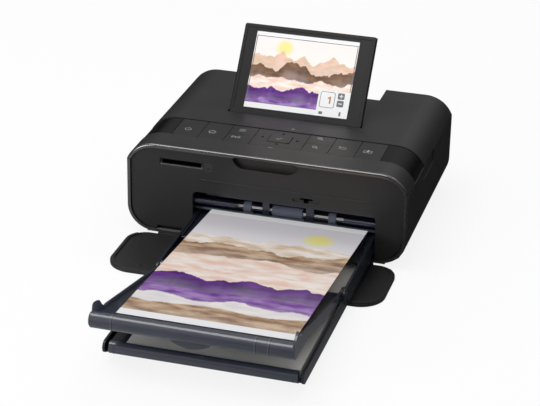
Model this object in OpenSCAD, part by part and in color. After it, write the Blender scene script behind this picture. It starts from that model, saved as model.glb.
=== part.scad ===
// Compact photo printer with a tilting screen, a paper cassette and a hinged front cover.
// Millimetres. X runs to the right, Y to the back, Z up; the feet stand on Z = 0.

/* [Case] */
// Width of the case
case_w = 180; // [176:1:220]
// Depth of the case, front face to back
case_d = 136; // [134:1:170]
// Height of the case without its feet
case_h = 60; // [59:0.5:75]
// Height of the rubber feet
foot_h = 3; // [2.5:0.1:6]
// Wall of the two case halves
shell = 2.4; // [2:0.1:3]
// Drop from the top to the line where the two case halves meet
hood_drop = 12; // [11:0.5:14]
// Width of the rounded shoulder on each side of the top
shoulder_w = 18; // [16:0.5:20]
// Radius of the two long lower corners
corner_r = 17; // [14:0.5:19]
// Radius of the rounded front edge
rim_r = 1.5; // [0.5:0.1:1.6]
// How far the front panel sits behind the rim
panel_set = 1.2; // [0.8:0.1:2]
// Thickness of the front and rear panels
panel_t = 2; // [1.6:0.1:2.4]
// Visible seam between fixed case pieces
seam = 0.25; // [0.15:0.05:0.35]

/* [Paper and cassette] */
// Width of the paper
paper_w = 100; // [84:1:104]
// Length of a sheet with its tear-off ends
paper_l = 171.5; // [160:0.5:176]
// Height of the stack of blank sheets
stack_h = 4.6; // [2:0.1:5]
// Sideways place of the paper's middle
paper_x = 15.6; // [12:0.1:17]
// Length of cassette inside the case
cassette_in = 17; // [14:0.5:19]
// Height of the cassette's underside above the table
cassette_z = 5.8; // [5.6:0.1:6.5]
// Wall of the cassette
cassette_wall = 1.4; // [1.2:0.1:1.6]
// Gap between the cassette and the mouth on each side
mouth_gap = 0.7; // [0.4:0.1:1]
// Top of the mouth above the table
mouth_top = 34; // [32:0.5:36]

/* [Output tray] */
// Angle at which the tray stands above its closed place
tray_tilt = 12.4; // [8:0.1:13]
// Distance from the tray's pivot to the middle of its front bar
tray_reach = 106.4; // [104:0.1:112]
// Radius of the front bar
bar_r = 4.8; // [4:0.1:5]
// Wall of the tray's side arms
arm_t = 1.3; // [1:0.1:1.5]

/* [Front cover] */
// Length of the cover from its hinge axis to its free edge
cover_l = 56.2; // [50:0.1:57]
// Thickness of the cover
cover_t = 1.8; // [1.5:0.1:2]
// Radius of the cover's free corners
cover_r = 16; // [10:0.5:18]

/* [Keys] */
// Pitch of the key columns
key_pitch = 16.8; // [14:0.1:17.6]
// Front edge of the key band behind the front face
band_y = 19.5; // [18:0.5:22]
// Depth of the key band from front to back
band_d = 27; // [22:0.5:28]
// Gap round each key
key_gap = 0.35; // [0.25:0.05:0.5]
// Travel of a key
key_travel = 0.4; // [0.3:0.05:0.6]

/* [Screen] */
// Width of the screen unit
screen_w = 88; // [74:0.5:92]
// Height of the screen unit
screen_h = 60.3; // [50:0.1:61]
// Thickness of the screen unit
screen_t = 7; // [6:0.1:7]
// Tilt of the raised screen above the lying position
screen_tilt = 53.5; // [30:0.5:60]
// Width of the display area
lcd_w = 68.6; // [55:0.1:76]
// Height of the display area
lcd_h = 51.4; // [40:0.1:52]

/* [Paper feed] */
// Radius of the fluted feed rollers
feed_r = 3.2; // [2.6:0.1:3.9]
// Radius of the platen roller
platen_r = 7; // [6:0.1:7.2]
// Radius of the roller shafts
shaft_r = 2; // [1.6:0.1:2.2]
// Radial running clearance of shafts and pins
running = 0.05; // [0.03:0.01:0.08]

/* [Gears] */
// Module of the gear teeth
gear_m = 0.8; // [0.8:0.1:0.8]
// Teeth of the gear on the feed shaft
feed_teeth = 12; // [11:1:13]
// Teeth of the gear on the platen shaft
platen_teeth = 24; // [23:1:26]
// Teeth of the idler between them
idler_teeth = 48; // [47:1:50]
// Teeth of the motor pinion
pinion_teeth = 16; // [15:1:18]
// Width of the gears
gear_w = 5; // [4:0.5:6]
// Play of each tooth along the pitch circle
backlash = 0.14; // [0.1:0.01:0.2]

/* [Hidden] */
$fn = 64;
eps = 0.01;

// Levels and outlines of the case
half_w = case_w / 2;
z_base = foot_h;
z_top = foot_h + case_h;
z_part = z_top - hood_drop;
shoulder_r = (shoulder_w * shoulder_w + hood_drop * hood_drop) / (2 * hood_drop);
shoulder_x = half_w - shoulder_w;
shoulder_z = z_top - shoulder_r;
corner_x = half_w - corner_r;
corner_z = z_base + corner_r;
floor_z = z_base + shell;
panel_inset = shell + 0.2;

// Cassette and mouth
cassette_edge = 3.8;
cassette_channel = 11.8;
bar_depth = 4.1;
stack_room = 6.5;
cassette_out = paper_l + stack_room - cassette_in;
guide_gap = 0.4;
cassette_right = paper_x + paper_w / 2 + cassette_edge;
cassette_left = paper_x - paper_w / 2 - cassette_channel;
mouth_right = cassette_right + mouth_gap;
mouth_left = cassette_left - mouth_gap;
mouth_r = 3;
well_z = cassette_z + cassette_wall;
stack_top = well_z + stack_h;
base_top = cassette_z + 7.6;
cheek_top = cassette_z + 12.8;
nose_r = (base_top - cassette_z - 0.2) / 2;
paper_left = paper_x - paper_w / 2;
paper_right = paper_x + paper_w / 2;
stack_front = -cassette_out + bar_depth + 0.4;

// Output tray: it is drawn closed, then turned up about its pivot
pivot_y = -cassette_out + 95;
cheek_y = pivot_y - 6;
pivot_z = cassette_z + 9.4;
pivot_r = 1.25;
arm_end_r = 3.4;
arm_top = pivot_z + 1.8;
arm_low = pivot_z - 5;
tray_floor_z = base_top + 0.4;
tray_floor_t = 1.1;
tray_bar_z = pivot_z - 5;
tray_bar_y = pivot_y - tray_reach;
right_arm_x = cassette_right - cassette_wall - guide_gap;
left_arm_x = cassette_left + cassette_wall + guide_gap;
bar_left = cassette_left - 2.4;
bar_right = right_arm_x - 0.1;
arm_wedge = 24;
leaf_r = 4.2;
leaf_y = tray_bar_y + leaf_r + 1;
leaf_rise = 3.7;
ear_rise = 2.9;
dip_r = 6;
dip_y = tray_bar_y + 7.5;
grip_x = bar_left + 58;
grip_r = 22;
ring_rise = 0.13;

// Print lying on the tray bar and on the rests of the cassette's inner lid
sheet_t = 0.3;
rest_y = -4;
rest_z = cassette_z + 17.8;
bar_rise_y = pivot_y - tray_reach * cos(tray_tilt) + (tray_bar_z - pivot_z) * sin(tray_tilt);
bar_rise_z = pivot_z + tray_reach * sin(tray_tilt) + (tray_bar_z - pivot_z) * cos(tray_tilt);
bar_gap = 0.3;
print_slope = atan((bar_rise_z + bar_r + bar_gap - rest_z) / (rest_y - bar_rise_y));
print_tail = 5.7;

// The whole printer is centred on the origin, from the tray's tip to the back
front_y = (bar_r + ring_rise - bar_rise_y - case_d) / 2;

// Front cover, hinged below the mouth
hinge_r = 1.6;
hinge_y = panel_set + 1.2;
hinge_z = cassette_z - 0.3 - hinge_r;
hinge_half = half_w - 20;
cover_z = 0.3;
cover_pin_r = 0.8;
cover_inset = 3.4;
cover_foot = 2.7;
cover_lip = 0.8;
latch_x = mouth_right - 44;
latch_z = mouth_top + 4;

// Keys and their band
band_drop = 0.35;
band_t = 1.6;
band_floor = band_drop + band_t;
bed_t = 2;
key_cap_t = 1.5;
key_top = z_top - band_drop;
cap_low = key_top - key_cap_t + key_travel;
keys_left = -4 * key_pitch;
key_y0 = band_y + 0.7;
key_y1 = band_y + band_d - 0.7;
key_mid_y = (key_y0 + key_y1) / 2;
bed_top = z_top - band_floor;
stem_r = 1.8;
stem_low = bed_top - bed_t - 1.6;
board_z = bed_top - bed_t - 4.2;
key_peg_x = 4 * key_pitch - 3;
key_peg_y = band_y + band_d - 4.7;
board_t = 1.2;
ok_w = 14;
ok_d = 10;
gimbal_z = bed_top - 1.7;
gimbal_w = ok_w + 12;
gimbal_d = ok_d + 8;
trunnion_r = 0.8;
// Each row: first column, columns wide, lower and upper share of the depth
KEY_PLAN = [[0, 1, 0, 1], [1, 1, 0, 1], [2, 1, 0.5, 1], [2, 1, 0, 0.5],
            [5, 1, 0.5, 1], [5, 1, 0, 0.5], [6, 1, 0, 1], [7, 1, 0, 1]];
nav_x = keys_left + 4 * key_pitch;

// Screen and its bay in the hood
screen_axis_z = z_top - 4.5;
screen_axis_y = band_y + band_d + 23;
screen_face = 4.2;
screen_back_w = screen_face - screen_t;
screen_v0 = 2;
barrel_r = 2.9;
screen_pin_r = 1.5;
frame_t = 1.6;
frame_edge = 2.3;
bay_floor = z_top - 8.3;
bay_y = screen_axis_y - 3.4;
bay_half = screen_w / 2 + 0.8;
bay_taper = 3.4;
bay_lip = z_top - 2.5;
bay_wall = 1.6;
barrel_end = bay_half - bay_taper - 1;
barrel_l = 9;

// Feed path and gear train, in the Y-Z plane
feed_y = 9.2;
feed_z = cassette_z + 19.3;
platen_y = 60;
platen_z = cassette_z + 16.5;
nip_gap = 0.25;
pinch_r = 1.8;
pinch_shaft_r = 1;
pinch_z = feed_z - feed_r - pinch_r - nip_gap;
// Left and right ends of the rollers and of the shaft's hangers, from the paper's middle
ROLLERS = [[-31, -26], [-12.4, 7], [23.6, 28.3]];
HANGERS = [[-18.5, -14], [9.5, 14.5]];
guide_y = 5.2;
guide_z = feed_z + 1.4;
guide_r = 1.9;
frame_plate = 1.2;
frame_low = floor_z + 2.4;
flange_y = [66, 96];
left_frame_x = mouth_left - 4;
right_frame_x = mouth_right + 3;
gear_x = left_frame_x - 24.5;
// half the width of the card reader, and the air between it and the gears
reader_half = 14.4;
reader_gap = 1.6;
function pitch_r(teeth) = gear_m * teeth / 2;
feed_reach = pitch_r(feed_teeth) + pitch_r(idler_teeth);
platen_reach = pitch_r(platen_teeth) + pitch_r(idler_teeth);
span_y = platen_y - feed_y;
span_z = platen_z - feed_z;
span = sqrt(span_y * span_y + span_z * span_z);
idler_along = (feed_reach * feed_reach - platen_reach * platen_reach + span * span) / (2 * span);
idler_up = sqrt(feed_reach * feed_reach - idler_along * idler_along);
idler_y = feed_y + (idler_along * span_y - idler_up * span_z) / span;
idler_z = feed_z + (idler_along * span_z + idler_up * span_y) / span;
motor_angle = 30;
motor_reach = pitch_r(idler_teeth) + pitch_r(pinion_teeth);
motor_y = idler_y + motor_reach * cos(motor_angle);
motor_z = idler_z + motor_reach * sin(motor_angle);
motor_r = 11;
pinion_bore = 1.2;
motor_x = gear_x + gear_w + 3;

// Ribbon cassette, pushed in from the right through the ink cover
spool_y = [platen_y - 20, platen_y + 20];
film_z = platen_z + platen_r + 0.2;
film_t = 0.25;
roll_r = 6.2;
spool_z = film_z + film_t + 0.3 + roll_r;
tub_r = 12;
tub_t = 1.2;
frame_top = spool_z + tub_r + 0.5;
ink_left = paper_left - 9.6;
ink_right = half_w - 6;
ink_y0 = 22;
ink_y1 = 98;
ink_axis_z = corner_z - 6.5;
ink_axis_x = corner_x + sqrt(pow(corner_r - 2.1, 2) - 6.5 * 6.5);
ink_barrel_r = 2;
ink_pin_r = 0.9;
ink_skin = 2;

// Rear panel and sockets
rear_y = case_d - panel_t - 0.8;
slot_h = 5;
board_low = floor_z + 5;
board_peg_x = [-66, paper_right - 10];
board_peg_y = [105, 115];
slot_z = platen_z + platen_r;
jack_x = -62;
jack_half = 5.4;
jack_z = board_low + board_t + jack_half;
jack_r = 4.4;
usb_x = -44;
usb_z = board_low + board_t + 2.5;

foot_x = half_w - 12;
foot_y = [18, case_d - 14];
post_x = half_w - 9.5;
post_y = [13, case_d - 10];
post_r = 3.6;
screw_r = 1.25;
screw_head_r = 2.6;
screw_head_z = corner_z - corner_r * 0.55;
screw_bite = 6;
lug_w = 7;
tongue_h = 2.2;
tongue_t = 1.2;

// ---- helpers ----

// A piece drawn from the case's front face, in the part's own frame
module from_front() {
    translate([0, front_y, 0]) children();
}

// Extrudes an X-Z outline from y0 to y1
module along_y(y0, y1) {
    translate([0, y1, 0]) rotate([90, 0, 0]) linear_extrude(height = y1 - y0) children();
}

// Extrudes a Y-Z outline from x0 to x1
module along_x(x0, x1) {
    translate([x0, 0, 0]) rotate([90, 0, 90]) linear_extrude(height = x1 - x0) children();
}

module block(x0, y0, z0, x1, y1, z1) {
    translate([x0, y0, z0]) cube([x1 - x0, y1 - y0, z1 - z0]);
}

module rod_x(x0, x1, y, z, r) {
    translate([x0, y, z]) rotate([0, 90, 0]) cylinder(r = r, h = x1 - x0);
}

module rod_y(y0, y1, x, z, r) {
    translate([x, y0, z]) rotate([-90, 0, 0]) cylinder(r = r, h = y1 - y0);
}

module rod_z(z0, z1, x, y, r) {
    translate([x, y, z0]) cylinder(r = r, h = z1 - z0);
}

// Rectangle with round corners
module round_rect(x0, y0, x1, y1, r) {
    translate([x0 + r, y0]) square([x1 - x0 - 2 * r, y1 - y0]);
    translate([x0, y0 + r]) square([x1 - x0, y1 - y0 - 2 * r]);
    for (x = [x0 + r, x1 - r]) for (y = [y0 + r, y1 - r]) translate([x, y]) circle(r = r);
}

// Upright shape with its two lower corners round
module bowl(half, low, high, r) {
    translate([-half, low + r]) square([2 * half, high - low - r]);
    translate([-half + r, low]) square([2 * (half - r), r + eps]);
    for (side = [-1, 1]) translate([side * (half - r), low + r]) circle(r = r);
}

// Upper half of the case's cross-section, from the parting line up
module hood_outline(inset = 0) {
    intersection() {
        union() {
            for (side = [-1, 1]) translate([side * shoulder_x, shoulder_z]) circle(r = shoulder_r - inset);
            translate([-shoulder_x, shoulder_z]) square([2 * shoulder_x, shoulder_r - inset]);
        }
        translate([-half_w + inset, z_part]) square([2 * (half_w - inset), hood_drop]);
    }
}

// Lower half of the case's cross-section, up to the parting line
module tub_outline(inset = 0) {
    for (side = [-1, 1]) translate([side * corner_x, corner_z]) circle(r = corner_r - inset);
    translate([-corner_x, z_base + inset]) square([2 * corner_x, corner_r]);
    translate([-half_w + inset, corner_z]) square([2 * (half_w - inset), z_part - corner_z]);
}

// What a rounded edge takes off a wall that ends at u = edge, with the front face at v = 0
module edge_waste(edge, size) {
    ease = 0.03;
    difference() {
        translate([edge - size, -eps]) square([size + 2, size + eps]);
        translate([edge - size + ease, size + ease]) circle(r = size);
    }
}

// Rounds the front edge of the hood: two shoulders and the straight top
module hood_rounding(size) {
    for (side = [-1, 1])
        translate([side * shoulder_x, 0, shoulder_z]) rotate([-90, 0, 0]) intersection() {
            rotate_extrude() edge_waste(shoulder_r, size);
            translate([side > 0 ? 0 : -shoulder_r - 3, -shoulder_r - 3, -1])
                cube([shoulder_r + 3, shoulder_r + 3, size + 4]);
        }
    translate([-shoulder_x, 0, 0]) rotate([90, 0, 90]) linear_extrude(height = 2 * shoulder_x)
        rotate(90) mirror([0, 1, 0]) edge_waste(z_top, size);
}

// The same for the lower half, with its two upright sides
module tub_rounding(size) {
    for (side = [-1, 1])
        translate([side * corner_x, 0, corner_z]) rotate([-90, 0, 0]) intersection() {
            rotate_extrude() edge_waste(corner_r, size);
            translate([side > 0 ? 0 : -corner_r - 3, 0, -1])
                cube([corner_r + 3, corner_r + 3, size + 4]);
        }
    translate([-corner_x, 0, 0]) rotate([90, 0, 90]) linear_extrude(height = 2 * corner_x)
        rotate(90) mirror([0, 1, 0]) mirror([1, 0, 0]) edge_waste(-z_base, size);
    for (side = [0, 1]) mirror([side, 0, 0])
        translate([0, 0, corner_z]) linear_extrude(height = z_part - corner_z + 1)
            edge_waste(half_w, size);
}

// ---- case ----

module bottom_case() {
    color("#1c1c1e") from_front() difference() {
        union() {
            along_y(0, case_d) difference() {
                tub_outline();
                tub_outline(shell);
                translate([-half_w, z_part - eps]) square([case_w, 1]);
            }
            // tongue that the hood closes over
            along_y(panel_set + panel_t + 1, rear_y - 1) difference() {
                union() {
                    translate([-half_w + shell - 0.2, z_part - 4]) square([case_w - 2 * shell + 0.4, 4]);
                    intersection() {
                        hood_outline(shell + 0.15);
                        translate([-half_w, z_part - 1]) square([case_w, 1 + tongue_h]);
                    }
                }
                translate([-half_w + shell + tongue_t,
                        z_part - 5]) square([case_w - 2 * (shell + tongue_t), 9]);
            }
            foot_bosses();
            case_posts();
            ink_lugs();
            hinge_bosses();
            board_pegs();
        }
        // front edge is cut away for the front cover's hinge bar
        block(-hinge_half, -1, 0, hinge_half, hinge_y + hinge_r + 0.5, floor_z + 1.2);
        // the tongue makes room for the bed of the key band
        block(-half_w, band_y - 2.3, z_part, half_w, band_y + band_d + 2.3, z_part + 4);
        // window for the ribbon cassette
        block(corner_x + 4, ink_y0, ink_axis_z - 3, half_w + 1, ink_y1, z_part + 4);
        for (x = [-foot_x, foot_x]) for (y = foot_y) rod_z(-1, z_base + 0.8, x, y, 5.1);
        for (x = [-post_x, post_x]) for (y = post_y) {
            rod_z(z_base - 1, screw_head_z, x, y, screw_head_r + 0.3);
            rod_z(z_base, z_part, x, y, screw_r + 0.25);
        }
        for (side = [-1, 1]) rod_x(side * hinge_half - 5, side * hinge_half + 5, hinge_y, hinge_z,
                cover_pin_r);
        rod_y(ink_y0 - 5, ink_y1 + 5, ink_axis_x, ink_axis_z, ink_pin_r);
        // air slots in the floor
        for (i = [0:7]) block(-30 + i * 8, 96, 0, -27 + i * 8, 118, floor_z + 1);
        tub_rounding(rim_r);
        translate([0, case_d, 0]) mirror([0, 1, 0]) tub_rounding(rim_r / 2);
    }
}

module foot_bosses() {
    intersection() {
        for (x = [-foot_x, foot_x]) for (y = foot_y) rod_z(z_base, z_base + 4.4, x, y, 6.2);
        block(-half_w, 0, z_base, half_w, case_d, z_base + 10);
    }
}

module case_posts() {
    intersection() {
        for (x = [-post_x, post_x]) for (y = post_y) rod_z(z_base, z_part - 0.4, x, y, post_r);
        along_y(0, case_d) tub_outline(0.6);
    }
}

module ink_lugs() {
    for (y = [ink_y0 - 6, ink_y1]) intersection() {
        block(ink_axis_x - 4, y, ink_axis_z - 3, half_w, y + 6, ink_axis_z + 4);
        along_y(0, case_d) tub_outline(0.5);
    }
}

module hinge_bosses() {
    for (side = [-1, 1]) along_x(side * hinge_half + (side < 0 ? -lug_w : 0),
            side * hinge_half + (side > 0 ? lug_w : 0)) {
        translate([hinge_y, hinge_z]) circle(r = hinge_r + 0.1);
        translate([hinge_y - hinge_r - 0.1, hinge_z]) square([2 * hinge_r + 0.2, floor_z - hinge_z]);
    }
}

// Pegs that carry the main board
module board_pegs() {
    for (x = board_peg_x) for (y = board_peg_y) {
        rod_z(floor_z - eps, board_low, x, y, 3);
        rod_z(board_low - eps, board_low + board_t + 1, x, y, 1.5);
    }
}

module top_cover() {
    color("#232325") from_front() difference() {
        union() {
            along_y(0, case_d) difference() {
                hood_outline();
                hood_outline(shell);
                translate([-half_w - 1, z_part - 1]) square([case_w + 2, 1 + seam]);
            }
            // bed under the key band
            along_y(band_y - 2, band_y + band_d + 2) difference() {
                hood_outline(shell - 0.5);
                hood_outline(band_floor + bed_t);
                translate([-half_w, z_part - 1]) square([case_w, 1 + seam]);
            }
            screen_bay_walls();
            // rear wall above the parting line
            along_y(rear_y, case_d) difference() {
                hood_outline(0.8);
                translate([-half_w, z_part - 1]) square([case_w, 1 + seam]);
            }
            // bosses for the gimbal's trunnions, the key board and the case screws
            for (y = [key_mid_y - gimbal_d / 2 - 2.6, key_mid_y + gimbal_d / 2 + 0.6])
                block(nav_x - 2.4, y, gimbal_z - 1.9, nav_x + 2.4, y + 2, bed_top - bed_t + 0.2);
            for (x = [-key_peg_x, key_peg_x]) {
                rod_z(board_z + board_t, bed_top - bed_t + 0.2, x, key_peg_y, 2.2);
                rod_z(board_z - 0.6, bed_top - bed_t, x, key_peg_y, 1.2);
            }
            intersection() {
                for (x = [-post_x, post_x]) for (y = post_y) rod_z(z_part + seam, z_top, x, y, post_r);
                along_y(0, case_d) hood_outline(0.6);
            }
        }
        for (x = [-post_x, post_x]) for (y = post_y) rod_z(z_part - 1, z_part + screw_bite, x, y, screw_r);
        // channel that the band lies in
        along_y(band_y, band_y + band_d) difference() {
            translate([-half_w - 1, z_part - 1]) square([case_w + 2, hood_drop + 3]);
            hood_outline(band_floor);
        }
        bay_cavity();
        key_openings();
        for (side = [-1, 1]) rod_x(side * (bay_half + 2) - 8, side * (bay_half + 2) + 8,
                                   screen_axis_y, screen_axis_z, screen_pin_r);
        // scoop over the finger recess
        along_y(-1, 5) round_rect(-21.5, z_top - 9.5, 21.5, z_top - 1.7, 3);
        hood_rounding(rim_r);
        translate([0, case_d, 0]) mirror([0, 1, 0]) hood_rounding(rim_r / 2);
    }
}

// Outline of the screen bay: straight at the lip, tapered below it
module bay_outline(grow, low) {
    polygon([[-bay_half - grow, z_top + 1], [-bay_half - grow, bay_lip],
             [-bay_half + bay_taper - grow, low], [bay_half - bay_taper + grow, low],
             [bay_half + grow, bay_lip], [bay_half + grow, z_top + 1]]);
}

module screen_bay_walls() {
    intersection() {
        union() {
            along_y(bay_y - bay_wall, case_d) bay_outline(bay_wall, bay_floor - bay_wall);
            for (side = [-1, 1]) rod_x(side * (bay_half + 1) - 3, side * (bay_half + 1) + 3,
                                       screen_axis_y, screen_axis_z, 3.4);
        }
        along_y(0, case_d) hood_outline(0.3);
    }
}

module bay_cavity() {
    along_y(bay_y, case_d + 1) bay_outline(0, bay_floor);
}

// Openings in the bed for the key stems and the pad's gimbal
module key_openings() {
    for (k = KEY_PLAN) rod_z(z_part, z_top, key_centre_x(k), key_centre_y(k), stem_r + 0.4);
    block(nav_x - gimbal_w / 2 - 4.4, key_mid_y - gimbal_d / 2 - 0.6, z_part,
          nav_x + gimbal_w / 2 + 4.4, key_mid_y + gimbal_d / 2 + 0.6, z_top + 1);
    rod_y(key_mid_y - gimbal_d / 2 - 2, key_mid_y + gimbal_d / 2 + 2, nav_x, gimbal_z,
            trunnion_r + running);
}

module front_panel() {
    color("#202022") from_front() difference() {
        union() {
            along_y(panel_set, panel_set + panel_t) panel_outline(panel_inset);
            // pocket behind the finger recess
            along_y(panel_set, panel_set + 4.6) intersection() {
                bowl(22.7, z_top - 10.7, z_top + 3, 9.2);
                panel_outline(panel_inset);
            }
            // thin ledge across the panel
            along_y(panel_set - 0.5, panel_set + 1)
                round_rect(cassette_left + 4.6, mouth_top + 8.3, mouth_right - 2.5, mouth_top + 9.1, 0.35);
        }
        // finger recess
        along_y(panel_set - 1, panel_set + 3.4) bowl(21.5, z_top - 9.5, z_top + 2, 8);
        // mouth, open down to the cassette
        along_y(-1, 10) {
            round_rect(mouth_left, hinge_z, mouth_right, mouth_top, mouth_r);
            translate([mouth_left, 0]) square([mouth_right - mouth_left, mouth_top - mouth_r]);
        }
        // clearance for the cover's hinge bar
        block(-hinge_half - 0.4, -1, 0, hinge_half + 0.4, 10, hinge_z + hinge_r + 1.9);
        card_slot_cut();
        latch_slot();
    }
}

module panel_outline(inset) {
    hood_outline(inset);
    translate([0, eps]) tub_outline(inset);
}

// Card slot with a sloped lead-in
module card_slot_cut() {
    along_y(-1, 12) translate([card_x() - 12.75, card_z()]) square([25.5, 2.9]);
    translate([card_x() - 14, 0, 0]) rotate([90, 0, 90]) linear_extrude(height = 28)
        polygon([[panel_set - 1, card_z() - 1.6], [panel_set + 1.1, card_z() + 0.4],
                 [panel_set + 1.1, card_z() + 2.5], [panel_set - 1, card_z() + 4.5]]);
}

function card_x() = gear_x + gear_w + reader_gap + reader_half;
function card_z() = z_top - 12.6;

// T-shaped hole in a shallow pill, where the front cover's hook catches
module latch_slot() {
    along_y(-1, panel_set + 0.8) round_rect(latch_x - 8.6, latch_z - 1.5, latch_x + 8.6, latch_z + 1.5,
            1.4);
    along_y(-1, 8) {
        translate([latch_x - 4, latch_z]) square([8, 1.6]);
        translate([latch_x - 1.6, latch_z - 1.8]) square([3.2, 2.4]);
    }
}

module rear_panel() {
    color("#1c1c1e") from_front() difference() {
        along_y(rear_y, rear_y + panel_t) difference() {
            tub_outline(panel_inset);
            translate([-half_w, z_part - seam]) square([case_w, 1]);
        }
        // slot through which the sheet swings out while it is printed
        along_y(rear_y - 1, rear_y + 4)
            round_rect(paper_left - 4, slot_z, paper_right + 4, slot_z + slot_h, 1.5);
        // cooling slots
        for (i = [0:17]) along_y(rear_y - 1, rear_y + 4)
            round_rect(-34 + i * 5.6, z_part - 10, -31 + i * 5.6, z_part - 4.5, 1.2);
        rod_y(rear_y - 1, rear_y + 4, jack_x, jack_z, jack_r);
        along_y(rear_y - 1, rear_y + 4) round_rect(usb_x - 4.6, usb_z - 2.8, usb_x + 4.6, usb_z + 2.8, 0.8);
    }
}

module mouth_liner() {
    color("#232736") from_front() difference() {
        union() {
            block(mouth_left - 1.6, panel_set + panel_t + 0.1, floor_z + 0.2,
                  mouth_left - 0.2, 21.4, mouth_top + 1.6);
            block(mouth_right + 0.2, panel_set + panel_t + 0.1, floor_z + 0.2,
                  mouth_right + 1.6, 21.4, mouth_top + 1.6);
            block(mouth_left - 1.6, panel_set + panel_t + 0.1, mouth_top + 0.2,
                  mouth_right + 1.6, 21.4, mouth_top + 1.6);
            difference() {
                block(mouth_left - 1.6, 20, floor_z + 0.2, mouth_right + 1.6, 21.4, mouth_top + 1.6);
                block(paper_left - 3, 19, pinch_z - 3, paper_right + 2.4, 22, feed_z + 1);
            }
            // guide bars beside the feed rollers
            rod_x(mouth_left - 0.4, paper_x - 35, guide_y, guide_z, guide_r);
            rod_x(paper_x + 34, mouth_right + 0.4, guide_y, guide_z, guide_r);
            // brow under the roof and the two hangers of the feed shaft
            block(mouth_left + 8.5, guide_y - 1, mouth_top - 2.4, mouth_right - 1, guide_y + 2,
                  mouth_top + 0.4);
            for (x = HANGERS) block(paper_x + x[0], feed_y - 3, feed_z - shaft_r - 0.9,
                    paper_x + x[1], feed_y + 3, mouth_top + 0.4);
        }
        rod_x(mouth_left - 5, mouth_right + 5, feed_y, feed_z, shaft_r + 0.25);
        rod_x(mouth_left - 5, mouth_right + 5, feed_y, pinch_z, pinch_shaft_r + 0.5);
    }
}

module key_band() {
    color("#0c0c0e") from_front() difference() {
        along_y(band_y + 0.1, band_y + band_d - 0.1) difference() {
            hood_outline(band_drop);
            hood_outline(band_floor);
            translate([-half_w - 1, z_part - 1]) square([case_w + 2, 1 + seam]);
        }
        block(keys_left - 0.1, key_y0 - 0.1, z_part, -keys_left + 0.1, key_y1 + 0.1, z_top + 1);
    }
}

// ---- keys ----

function key_centre_x(k) = keys_left + (k[0] + k[1] / 2) * key_pitch;
function key_centre_y(k) = key_y0 + (key_y1 - key_y0) * (k[2] + k[3]) / 2;

// One key: a cap with slightly round corners and a stem down to its switch
module key(k) {
    x0 = keys_left + k[0] * key_pitch + key_gap / 2;
    x1 = x0 + k[1] * key_pitch - key_gap;
    y0 = key_y0 + (key_y1 - key_y0) * k[2] + (k[2] > 0 ? key_gap / 2 : key_gap - 0.1);
    y1 = key_y0 + (key_y1 - key_y0) * k[3] - (k[3] < 1 ? key_gap / 2 : key_gap - 0.1);
    color("#2a2a2c") from_front() {
        translate([0, 0, cap_low]) linear_extrude(height = key_cap_t - key_travel)
            round_rect(x0, y0, x1, y1, 0.5);
        rod_z(stem_low, cap_low + 0.1, key_centre_x(k), key_centre_y(k), stem_r);
    }
}

module key_power() { key(KEY_PLAN[0]); }

module key_home() { key(KEY_PLAN[1]); }

module key_menu() { key(KEY_PLAN[2]); }

module key_wireless() { key(KEY_PLAN[3]); }

module key_zoom_in() { key(KEY_PLAN[4]); }

module key_zoom_out() { key(KEY_PLAN[5]); }

module key_back() { key(KEY_PLAN[6]); }

module key_print() { key(KEY_PLAN[7]); }

module key_ok() {
    color("#2a2a2c") from_front() {
        translate([0, 0, cap_low + 0.2]) linear_extrude(height = key_cap_t - key_travel)
            round_rect(nav_x - ok_w / 2, key_mid_y - ok_d / 2, nav_x + ok_w / 2, key_mid_y + ok_d / 2, 1.2);
        rod_z(stem_low, key_top - 0.6, nav_x, key_mid_y, 2.6);
    }
}

// Four-way pad with a window for the middle key and two ears on the gimbal
module nav_pad() {
    x0 = nav_x - key_pitch + key_gap / 2;
    ear_x = gimbal_w / 2 + 0.4;
    color("#2a2a2c") from_front() difference() {
        union() {
            translate([0, 0, cap_low]) linear_extrude(height = key_cap_t - key_travel)
                round_rect(x0, key_y0 + key_gap - 0.1, 2 * nav_x - x0, key_y1 - key_gap + 0.1, 0.5);
            for (side = [-1, 1])
                translate([nav_x + side * (ear_x + 1), key_mid_y, (gimbal_z - 1.7 + cap_low) / 2])
                    cube([2, 4.4, cap_low + 0.2 - gimbal_z + 1.7], center = true);
        }
        block(nav_x - ok_w / 2 - 0.4, key_mid_y - ok_d / 2 - 0.4, 0,
              nav_x + ok_w / 2 + 0.4, key_mid_y + ok_d / 2 + 0.4, z_top + 1);
        rod_x(nav_x - gimbal_w / 2 - 5, nav_x + gimbal_w / 2 + 5, key_mid_y, gimbal_z,
                trunnion_r + running);
    }
}

// Ring that rocks sideways in the bed and carries the pad's ears
module nav_gimbal() {
    color("#3a3a3c") from_front() {
        difference() {
            union() {
                block(nav_x - gimbal_w / 2, key_mid_y - gimbal_d / 2, gimbal_z - 1,
                      nav_x + gimbal_w / 2, key_mid_y + gimbal_d / 2, gimbal_z + 0.8);
                rod_y(key_mid_y - gimbal_d / 2 - 1.8, key_mid_y + gimbal_d / 2 + 1.8, nav_x, gimbal_z,
                        trunnion_r);
                rod_x(nav_x - gimbal_w / 2 - 2.2, nav_x + gimbal_w / 2 + 2.2, key_mid_y, gimbal_z,
                        trunnion_r);
            }
            block(nav_x - ok_w / 2 + 2, key_mid_y - ok_d / 2 + 0.4, 0,
                  nav_x + ok_w / 2 - 2, key_mid_y + ok_d / 2 - 0.4, z_top + 1);
        }
    }
}

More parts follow.
